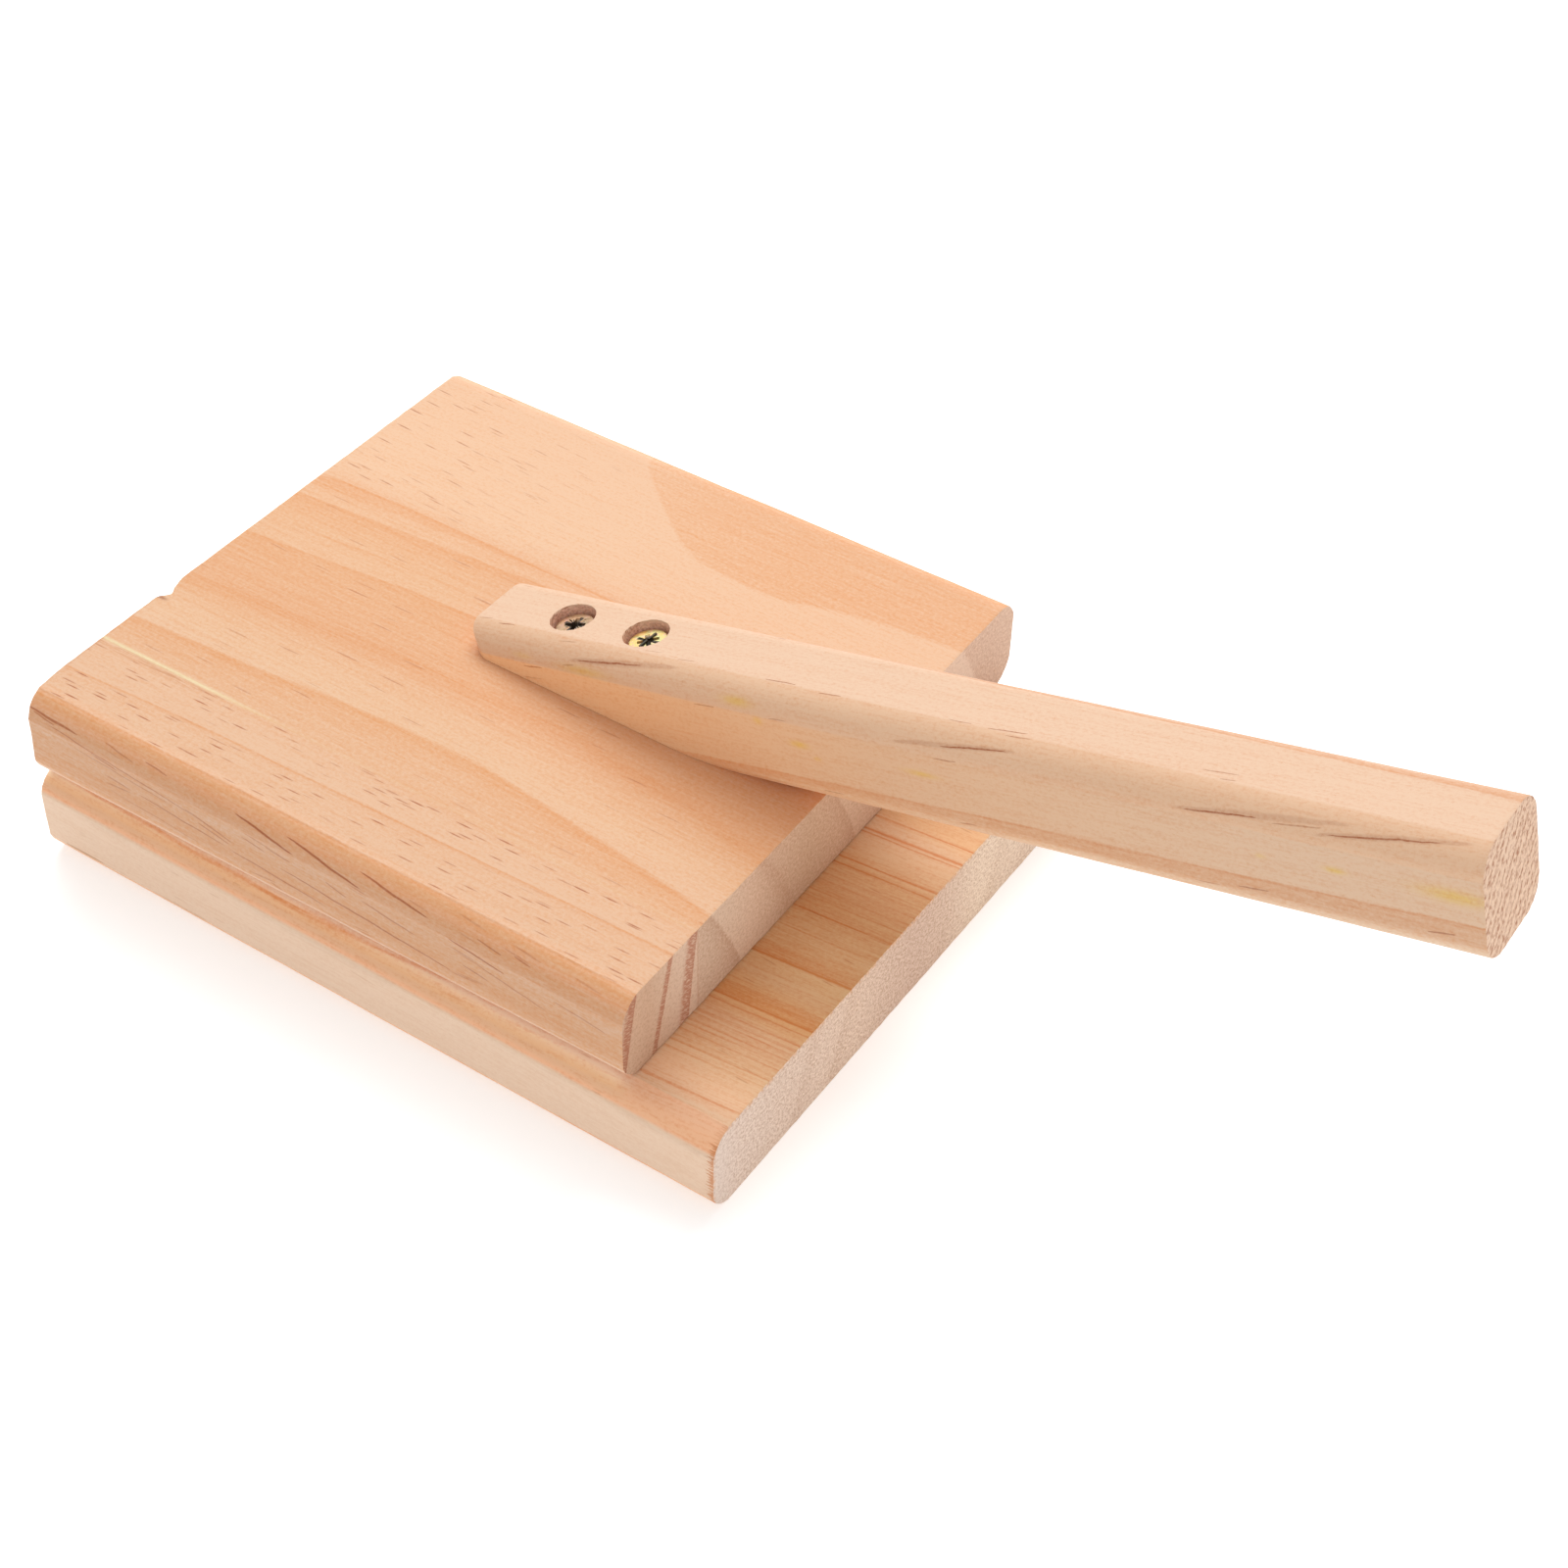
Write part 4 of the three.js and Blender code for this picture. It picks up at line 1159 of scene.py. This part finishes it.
# colour factors by way round the edge, clear of the upper board and along its front edge
BASE_FREE = [
    (-3.0, WHITE), (-1.0, (1.0, 1.06, 1.09)), (2.0, (1.0, 1.06, 1.08)), (3.5, (1.0, 1.02, 1.0)),
    (5.6, (0.95, 0.98, 0.95)), (6.3, (0.95, 0.92, 0.89)), (24.0, WHITE)]
# Painted light: this table lightens the round-over in the shade under the upper board's overhang.
BASE_EDGE_LIT_IN_LID_SHADE = [
    (-2.0, WHITE), (0.0, (1.15, 1.50, 1.85)), (1.2, (1.21, 1.70, 2.15)),
    (2.0, (1.20, 1.62, 1.82)), (2.7, (1.10, 1.34, 1.34)), (3.5, (1.02, 1.14, 1.06)),
    (4.3, (0.93, 1.02, 1.0)), (5.1, (0.91, 0.98, 0.97)), (6.2, (0.97, 0.96, 0.93)),
    (24.0, WHITE)]
BASE_TOP = seen(228, 184, 148, 0.955)
BASE_ROUND = (1.15, 1.0, 0.95)
BASE_FACE = tint(seen(225, 190, 164, 0.79), (0.89, 0.89, 0.90))
BASE_END = tint(seen(217, 188, 168, 0.71), (0.93, 0.90, 0.92))


def base_material():
    g = Graph("pine_base_board")
    along, across, deep = wood_coords(g, (base_lo[0], base_lo[1], base_hi[2]))
    warp = (g.noise((along * 0.022, across * 0.05, deep * 0.05)) - 0.5) * 1.6
    waver = (g.noise((along * 0.1, across * 0.5, deep * 0.5)) - 0.5) * 0.25
    bow = (along - 150.0) * 0.02 + (along - 70.0) * (along - 70.0) * 0.0004
    ring = (across - bow + 2.2 + warp * (along - 150.0).abs().ramp(8.0, 40.0) + waver
            + deep * 0.35)
    rings = ring.curve(BASE_GRAIN, 0.0, 142.0, 0.0, 1.0)
    stripes = g.noise((along * 0.006, ring * 1.25, 4.0), rough=0.6)
    broad, fine, specks = grain_noise(g, along, ring, deep, 5.0)
    striped = ring.step(12.5, 15.0) * ring.fall(29.0, 30.0)
    hairs = None
    for at, width, strength in BASE_HAIRS:
        line = hair(after(ring, hairs), at, width, strength)
        hairs = line if hairs is None else hairs + line
    dark = (rings + hairs * (0.9 + 2.0 * broad) + (stripes - 0.5) * (0.28 + 0.8 * striped)
            + (broad - 0.5) * 1.0 + (fine - 0.5) * 0.9 + (specks - 0.5) * 1.3).clamp()
    color = g.mix(dark, BASE_TOP, tint(BASE_TOP, (0.84, 0.50, 0.30)))
    # painted shade: darker and more orange from about 25 to 75 mm, beside the upper board's end
    # and under the handle
    color = g.tone(color, across, BASE_ACROSS_AND_SHADE)

    # flecks, and streaks on the front side
    nearest_way = way_from_nearest(across, deep, float(BASE_W), float(BASE_T))
    on_top = nearest_way.fall(-0.3, 0.1)
    side = 1.0 - on_top
    top_flecks = dashes(g, along, across + along * 0.02, deep, length=6.0, thick=0.6,
                        keep=0.12, seed=21.0) * on_top * 0.6
    side_flecks = dashes(g, along, nearest_way, deep * 0.0, length=5.0, thick=0.8,
                         keep=0.05, seed=25.0) * side * 0.4
    marks = streaks(along, way_round(across, deep), BASE_STREAKS)
    flecks = top_flecks.max(side_flecks).max(marks * side * across.fall(8.0, 9.0))
    color = g.mix(flecks.clamp(), color, tint(BASE_TOP, (0.55, 0.34, 0.2)))

    # round-overs, and the upright side faces
    round_end = ROUND * math.pi / 2
    rounded = side * nearest_way.fall(round_end - 1.2, round_end + 0.1)
    face = side * nearest_way.step(round_end - 1.2, round_end + 0.1)
    color = g.tinge(rounded, color, BASE_ROUND)
    # painted light: the round-over is lightened where the upper board's overhang shades it
    lid_overhang_shade = along.fall(LID_L - 4.0, LID_L + 2.0) * across.fall(30.0, 40.0)
    color = g.mix(lid_overhang_shade, g.tone(color, nearest_way, BASE_FREE, start=-2.0),
                  g.tone(color, nearest_way, BASE_EDGE_LIT_IN_LID_SHADE))
    face_dark = (0.35 + (broad - 0.5) * 2.4 + (fine - 0.5) * 1.6 + (specks - 0.5) * 3.2).clamp()
    face_color = g.mix(face_dark, BASE_FACE, tint(BASE_FACE, (0.95, 0.90, 0.86)))
    face_color = g.mix(specks.step(0.66, 0.78) * 0.25, face_color,
                       tint(BASE_FACE, (0.74, 0.60, 0.48)))
    face_color = g.mix((flecks * 0.9).clamp(), face_color, tint(BASE_FACE, (0.62, 0.42, 0.26)))
    # two thin ring lines low on the side
    low_lines = (bell(lambda: deep - 18.7, 12.0)
                 + 0.6 * bell(lambda: deep - 16.4 + along * 0.004, 16.0))
    face_color = g.mix((low_lines * 0.35).clamp(), face_color,
                       tint(BASE_FACE, (0.93, 0.74, 0.55)))
    color = g.mix(face, color, face_color)

    # end grain, with brown fringes along its top and front edges
    end = g.dot(g.normal, (1, 0, 0)).abs().step(0.55, 0.85)
    pores, fuzz = end_pattern(g, across, deep, 12.0)
    end_dark = (rings * 0.45 + (pores - 0.5) * 5.0 + (fuzz - 0.5) * 2.4 + 0.3).clamp()
    end_color = g.mix(end_dark, BASE_END, tint(BASE_END, (0.68, 0.57, 0.50)))
    end_color = g.tone(end_color, across, BASE_END_ACROSS)
    end_color = g.mix(across.step(1.0, 9.0, 0.35, 0.0), end_color, seen(206, 190, 178, 0.80))
    top_fringe = (deep.fall(0.2, 1.3)
                  * g.noise((across * 1.1, deep * 0.6, 2.0)).step(0.42, 0.6))
    front_fringe = (across.fall(0.1, 1.0)
                    * g.noise((deep * 1.1, across * 0.4, 7.0)).step(0.45, 0.6))
    end_color = g.mix((top_fringe * 0.55 + front_fringe * 0.6).clamp(), end_color,
                      seen(200, 146, 98, 0.80))
    color = g.mix(end, color, end_color)
    # splintery brown edge where the side meets the sawn end
    ragged = g.noise((along * 0.12, nearest_way * 2.4, 3.0), rough=0.7)
    lip = (along + ragged * 7.0).step(BASE_L + 2.45, BASE_L + 2.8) * side
    color = g.mix(lip * (1.0 - end) * nearest_way.step(3.2, 4.6, 0.25, 0.75), color,
                  seen(176, 108, 62, 0.80))

    relief = blend(fine * 0.45 + specks * 0.8, pores * 1.9 + fuzz * 1.4, end)
    return g.finish(color, roughness=fine.times_plus(0.14, 0.55) + end * 0.2,
                    normal=g.bump(relief, distance=0.00006, strength=0.9),
                    specular=0.26, bounce=seen(236, 190, 152))


# -------------------------------------------------------------------- handle
# edge of the darker grain: (distance from the free end, height)
HANDLE_LINE = [(-210, 1.2), (-160, 3.15), (-120, 4.25), (-90, 4.95), (-50, 5.75), (-20, 6.4),
               (0, 6.88)]
# start (along from the free end, way round), end, width, strength
HANDLE_STREAKS = [
    (-201, 15.3, -197, 14.9, .20, .8), (-206, 15.0, -203, 14.4, .18, .6),
    (-185, 16.1, -181, 15.7, .18, .5), (-166, 13.9, -162, 13.6, .16, .4),
    (-158, 14.4, -154, 14.0, .18, .5), (-138, 14.5, -131, 14.3, .20, .85),
    (-126, 15.0, -121, 14.5, .18, .7), (-99, 14.4, -94, 14.3, .18, .6),
    (-91, 14.6, -83, 13.6, .20, .8), (-87, 15.2, -82, 14.8, .18, .6),
    (-51, 12.9, -44, 12.4, .20, .6), (-47, 14.3, -44, 14.0, .20, .6),
    (-182, 19.7, -156, 16.3, .95, .32), (-180, 19.5, -164, 17.4, .32, 1.0),
    (-109, 21.0, -83, 17.8, .7, .3), (-99, 19.9, -85, 18.1, .26, 1.0),
    (-54, 21.2, -22, 17.5, .8, .28), (-52, 21.1, -38, 19.7, .26, .95),
    (-29, 20.5, -2, 16.0, .75, .3), (-27, 20.2, -7, 17.0, .26, .95),
    (-36, 20.2, -27, 19.0, .2, .5), (-193, 23.0, -188, 22.5, .20, .7),
    (-194, 25.6, -189, 25.3, .18, .4), (-152, 22.7, -147, 22.3, .20, .6),
    (-135, 22.2, -131, 21.9, .18, .5), (-100, 22.5, -95, 22.1, .20, .6),
    (-126, 36.0, -121, 35.6, .2, .6), (-97, 35.6, -93, 35.3, .2, .6),
    (-43, 34.5, -37, 33.9, .22, .7), (-51, 35.4, -46, 35.2, .2, .5),
    (-10, 34.3, -5, 33.6, .24, .7), (-183, 20.8, -180, 20.5, .24, .4)]
# pale yellow marks: centre (along, way round), half sizes, strength
HANDLE_YELLOW = [
    (-178, 21.2, 5.5, .9, .55), (-142, 20.2, 3.0, .9, .7), (-137.5, 23.2, 1.0, .8, .5),
    (-129, 26.5, 1.8, .7, .75), (-125.5, 28.8, .8, .5, .4), (-103, 26.6, 3.2, .6, .6),
    (-25, 26.4, 1.7, .6, .7), (-5, 26.0, 5.5, 1.3, .7), (-38, 27.0, 1.0, .5, .35),
    (-193, 20.8, 2.2, .6, .3)]
# colour factors of the side face, by distance from the free end
# Near the thin end this is painted light: the side warmed for the orange light thrown up from the
# upper board.
HANDLE_FACE_AND_BOUNCE = [(-210.0, (1.15, 1.01, 0.77)), (-170.0, (1.12, 0.99, 0.77)),
               (-110.0, (0.95, 0.88, 0.78)), (-30.0, (0.89, 0.88, 0.85)),
               (0.0, (0.89, 0.88, 0.85))]
HANDLE_TOP = tint(seen(249, 213, 184, 1.17), (0.96, 0.94, 0.91))
HANDLE_ROUND = (0.97, 0.91, 0.84)
HANDLE_END = tint(seen(240, 205, 180, 0.79), (1.02, 0.84, 0.81))


def yellow_marks(along, way):
    total = None
    for x, y, half_x, half_y, strength in HANDLE_YELLOW:
        dx = (after(along, total) - x) * (1 / half_x)
        dy = (way - y) * (1 / half_y)
        mark = ((dx * dx + dy * dy) * -1.0).exp() * strength
        total = mark if total is None else total + mark
    return total


def handle_material():
    g = Graph("pine_handle")
    along, y, up = (g.dot(g.place, axis, -float(END_CENTRE @ np.array(axis)), 1000)
                    for axis in (AXIS, (0, 1, 0), UP))
    flat_y, flat_up = HANDLE_W / 2 - HANDLE_R, HANDLE_H / 2 - HANDLE_R
    # way round the section, from the back of the top face over the front edge and down
    angle = (-1.0 * y - flat_y).max(0.0).math("ARCTAN2", (up - flat_up).max(0.0))
    round_start = 9.0 + flat_y
    way = round_start + angle * HANDLE_R + (flat_up - up).max(0.0) - (y + flat_y).max(0.0)

    warp = (g.noise((along * 0.02, y * 0.09, up * 0.09)) - 0.5) * 1.3
    ring = up - y * 0.88 + warp * 0.5
    below = along.curve(HANDLE_LINE, -210.0, 0.0) - ring
    dark = below.step(-0.15, 0.35) * (0.40 + 0.22 * (below.max(0.0) / -0.5).exp()
                                      - 0.10 * below.ramp(0.0, 9.0))
    dark = dark + bell(lambda: below - 0.15, 14.0) * 0.16
    broad, fine, specks = grain_noise(g, along, y, up, 9.0)
    soft = g.noise((along * 0.012, ring * 0.35, 2.0))
    dark = (dark + 0.07 + (soft - 0.5) * 0.30 + (broad - 0.5) * 0.6 + (fine - 0.5) * 0.6
            + (specks - 0.5) * 1.3).clamp()
    color = g.mix(dark, HANDLE_TOP, tint(HANDLE_TOP, (0.86, 0.56, 0.37)))

    # streaks on the top and front, flecks on the back
    front = y.fall(5.5, 6.5)
    wavy = way + (g.noise((along * 0.11, 5.0, 1.0), detail=3.0, rough=0.6) - 0.5) * 1.0
    marks = streaks(along, wavy, HANDLE_STREAKS)
    back_flecks = dashes(g, along, up * 1.0 + y * 0.3, y, length=5.5, thick=0.8, keep=0.10,
                         seed=31.0) * (1.0 - front) * 0.6
    marks = (marks * front).max(back_flecks)
    color = g.tinge(specks.step(0.62, 0.76) * 0.3, color, (0.84, 0.72, 0.62))
    color = g.mix((marks * (0.35 + 1.0 * specks)).clamp(), color,
                  tint(HANDLE_TOP, (0.46, 0.21, 0.12)))
    blots = g.noise((along * 0.9, way * 1.6, 1.0), rough=0.6)
    yellow = (yellow_marks(along, way) * front * (0.5 + 1.8 * blots)).clamp()
    color = g.tinge(yellow * 0.85, color, (1.0, 0.97, 0.42))

    # round-over, side face, and the paler foot of the side
    rounded = (way.step(round_start - 0.2, round_start + 0.5)
               * way.fall(round_start + 7.4, round_start + 8.0))
    face = way.step(round_start + 7.4, round_start + 8.0)
    color = g.tinge(rounded, color, HANDLE_ROUND)
    # painted light: the side face warmed near the thin end, above the upper board
    color = g.mix(face, color, g.tone(color, along, HANDLE_FACE_AND_BOUNCE))
    color = g.tinge(way.step(34.7, 36.4), color, (1.06, 1.20, 1.30))

    # end grain: slanting rows of pores
    end = g.dot(g.normal, AXIS).abs().step(0.6, 0.86)
    row_along = y * 0.72 + up * 0.69
    row_across = up * 0.72 - y * 0.69
    row_noise = g.noise((row_along * 0.9, row_across * 1.6, 1.0), detail=3.0, rough=0.7)
    distance, _ = g.cells(row_along * 0.75, row_across * 1.0, along * 0.4)
    pits = distance.fall(0.12, 0.42)
    saw = g.noise(((y + up) * 0.8, (up - y) * 6.0, 2.0), rough=0.6)
    rows = (row_across * 3.3 + (soft - 0.5) * 6.0).math("SINE")
    end_dark = (0.20 + pits * 0.6 + (row_noise - 0.5) * 4.6 + (saw - 0.5) * 3.4
                + rows * 0.3).clamp()
    color = g.mix(end, color,
                  g.mix(end_dark, HANDLE_END, tint(HANDLE_END, (0.54, 0.35, 0.28))))

    # the drilled walls of the counterbores show torn, redder wood
    walls = []
    for head, _ in bores:
        bore_y = float(head[1] - END_CENTRE[1])
        bore_x = float((head - END_CENTRE) @ AXIS)
        distance = ((y - bore_y) * (y - bore_y)
                    + (along - bore_x) * (along - bore_x)).math("SQRT")
        walls.append(distance.fall(4.42, 4.64) + 0.35 * distance.fall(4.5, 5.3))
    walls = reduce(add, walls).clamp() * up.step(HANDLE_H / 2 - 0.12, HANDLE_H / 2 - 0.55)
    torn = g.noise((along * 1.3, y * 2.6, up * 2.2), detail=3.0, rough=0.65)
    color = g.mix(walls, color,
                  g.mix(torn.step(0.35, 0.68), (0.92, 0.56, 0.42), (0.52, 0.26, 0.18)))

    relief = blend(fine * 0.45 + specks * 1.0, row_noise * 1.2 + saw * 0.4 - pits * 0.4, end)
    relief = relief + walls * (torn - 0.5) * 2.5
    return g.finish(color, roughness=fine.times_plus(0.12, 0.58) + end * 0.2,
                    normal=g.bump(relief, distance=0.00007, strength=0.9),
                    specular=0.24, bounce=(0.86, 0.52, 0.33))


# --------------------------------------------------------------------- metal
def recess_shade_and_rim(g, centre):
    """Painted shade: black deep in the star recess and a bold black star over it, and a faint
    darkening round the rim of a handle screw's head.
    """
    below = g.dot(g.place, [-c for c in UP], float(np.dot(centre, UP)), 1000)
    deep = below.step(0.05, HANDLE_SCREW["drive"]["depth"] * 0.55)
    axes = basis(UP, AXIS)
    x, y = (g.dot(g.place, axes[:, k], -float(np.dot(centre, axes[:, k])), 1000)
            for k in (0, 1))
    radius = (x * x + y * y).math("SQRT")
    inner = radius.fall(2.35, 2.35 + 0.35)
    arms = (y.math("ARCTAN2", x) * 4.0).math("COSINE")
    star = 1.15 + 1.35 * arms.step(0.45, 0.85) + 0.75 * (arms * -1.0).step(0.90, 0.98)
    bold = (radius - star).fall(-0.12, 0.12)
    return ((deep * inner).max(bold) + radius.step(3.2, 3.8) * 0.2).clamp()


def zinc_material(name, centre=None, brown=0.0, dirt=0.0):
    """Yellow zinc plate, with the oily colours of its passivation."""
    g = Graph(name)
    patches = g.noise(g.place, 420.0, detail=3.0, rough=0.55, distort=0.6)
    spots = g.noise(g.place, 900.0, distort=0.3)
    color = g.mix(patches.step(0.40, 0.62), (0.86, 0.66, 0.26), (0.66, 0.70, 0.34))
    color = g.mix(spots.step(0.50, 0.70) * 0.6, color, (0.80, 0.46, 0.46))
    color = g.mix(brown, color, (0.50, 0.30, 0.24))
    metallic = 1.0
    if centre is not None:
        # painted shade: the star recess is blackened and made less metallic
        recess_dark = recess_shade_and_rim(g, centre)
        color = g.mix(recess_dark * 0.95, color, (0.018, 0.013, 0.010))
        smear = g.noise(g.place, 520.0, detail=3.0, rough=0.7)
        color = g.mix(smear.step(0.5, 0.75) * dirt, color, (0.10, 0.06, 0.04))
        metallic = 1.0 - recess_dark * 0.7
    scratches = g.noise(g.place, 2600.0, rough=0.6)
    return g.finish(color, roughness=spots.times_plus(0.25, 0.22),
                    normal=g.bump(scratches, distance=0.00001, strength=0.6),
                    specular=0.5, metallic=metallic)


def hinge_material():
    g = Graph("hinge_plated_steel")
    x, y, z = g.place.split()
    rolled = g.noise((x * 400, y * 90, z * 2600), rough=0.6)
    patches = g.noise(g.place, 160.0, detail=3.0, rough=0.55, distort=0.4)
    color = g.mix(patches.step(0.35, 0.65), (0.74, 0.60, 0.30), (0.63, 0.57, 0.36))
    blush = g.noise(g.place, 330.0, detail=3.0, rough=0.6).step(0.56, 0.78)
    color = g.mix(blush * 0.35, color, (0.66, 0.46, 0.40))
    wear = g.noise(g.place, 700.0, detail=3.0, rough=0.7).step(0.60, 0.78)
    color = g.mix(wear * 0.35, color, (0.60, 0.59, 0.56))
    return g.finish(color, roughness=rolled.times_plus(0.22, 0.26),
                    normal=g.bump(rolled + patches * 0.5, distance=0.00002, strength=0.7),
                    specular=0.5, metallic=1.0)


def give(obs, material):
    for ob in obs:
        ob.data.materials.clear()
        ob.data.materials.append(material)


# --------------------------------------------------------------------- stage
CAMERA_PLACE = (0.252479, -0.315252, 0.388517)
CAMERA_RIGHT = (0.829996, 0.557424, 0.019635)
CAMERA_UP = (-0.393588, 0.560377, 0.728743)
CAMERA_BACK = (0.395216, -0.612581, 0.684506)
# floor: (radius, height) in metres; the raised rim hides the horizon
FLOOR_RINGS = [(0.0001, 0), (0.3, 0), (0.8, 0), (1.6, 0), (2.6, 0.02), (3.2, 0.15), (3.6, 0.5)]
FLOOR_SEGMENTS = 96
FLOOR_DROP = 0.02              # mm


def add_camera():
    camera = bpy.data.cameras.new("camera")
    camera.sensor_width = 36.0
    camera.lens = 63.468225
    camera.clip_start, camera.clip_end = 0.01, 20
    ob = bpy.data.objects.new("camera", camera)
    matrix = Matrix((CAMERA_RIGHT, CAMERA_UP, CAMERA_BACK)).transposed().to_4x4()
    matrix.translation = Vector(CAMERA_PLACE)
    ob.matrix_world = matrix
    bpy.context.scene.collection.objects.link(ob)
    bpy.context.scene.camera = ob


def add_light(name, place, power):
    """Square area light, aimed at the press."""
    light = bpy.data.lights.new(name, "AREA")
    light.shape, light.size, light.energy = "SQUARE", 1.4, power
    ob = bpy.data.objects.new(name, light)
    ob.location = place
    ob.rotation_mode = "QUATERNION"
    aim = Vector((0.02, 0, 0.02)) - Vector(place)
    ob.rotation_quaternion = aim.to_track_quat("-Z", "Y")
    bpy.context.scene.collection.objects.link(ob)


def set_world():
    world = bpy.data.worlds.new("studio")
    world.use_nodes = True
    background = world.node_tree.nodes["Background"]
    background.inputs[0].default_value = (1, 1, 1, 1)
    background.inputs[1].default_value = 0.50
    scene = bpy.context.scene
    scene.world = world
    scene.view_settings.view_transform = "Standard"
    scene.view_settings.look = "None"


def build_floor():
    angles = [2 * math.pi * i / FLOOR_SEGMENTS for i in range(FLOOR_SEGMENTS)]
    points = [(r * math.cos(a) * 1000, r * math.sin(a) * 1000, z * 1000 - FLOOR_DROP)
              for r, z in FLOOR_RINGS for a in angles]
    faces = side_faces(len(FLOOR_RINGS), FLOOR_SEGMENTS) + [tuple(range(FLOOR_SEGMENTS))]
    floor = make_object("floor", np.array(points), faces)
    g = Graph("floor_white")
    color = g.mix(g.noise(g.place, 6.0), (0.845, 0.868, 0.882), (0.865, 0.888, 0.902))
    floor.data.materials.append(
        g.finish(color, roughness=0.9, normal=None, specular=0.1, glow=0.42))
    return floor


# --------------------------------------------------------------------- build
base = build_base()
lid = build_lid()
bores = [find_bore(node) for node in ("handle_screw_inner", "handle_screw_outer")]
handle = build_handle()
handle_screws = [
    add_screw(node, "_star", head, UP, AXIS, turn, HANDLE_SCREW, "press_plate")
    for node, turn, (head, _) in zip(("handle_screw_inner", "handle_screw_outer"),
                                     (18.0, 40.0), bores)]
hinge_parts, hinge_screws = [], []
for side in ("front", "back"):
    parts, screws = build_hinge(side)
    hinge_parts += parts
    hinge_screws += screws
register(base, "base", "base_board")
register(lid, "press_plate", "upper_board")
register(handle, "press_plate", "handle")

give([lid], lid_material())
give([base], base_material())
give([handle], handle_material())
give(handle_screws[:1], zinc_material("zinc_screw_1", bores[0][0], brown=0.70, dirt=0.5))
give(handle_screws[1:], zinc_material("zinc_screw_2", bores[1][0], brown=0.0, dirt=0.12))
give(hinge_screws, zinc_material("zinc_hinge_screw"))
give(hinge_parts, hinge_material())

add_camera()
add_light("key", (-0.45, 0.75, 1.25), power=20.6)
add_light("fill", (0.9, -1.1, 0.9), power=4.8)
set_world()
build_floor()
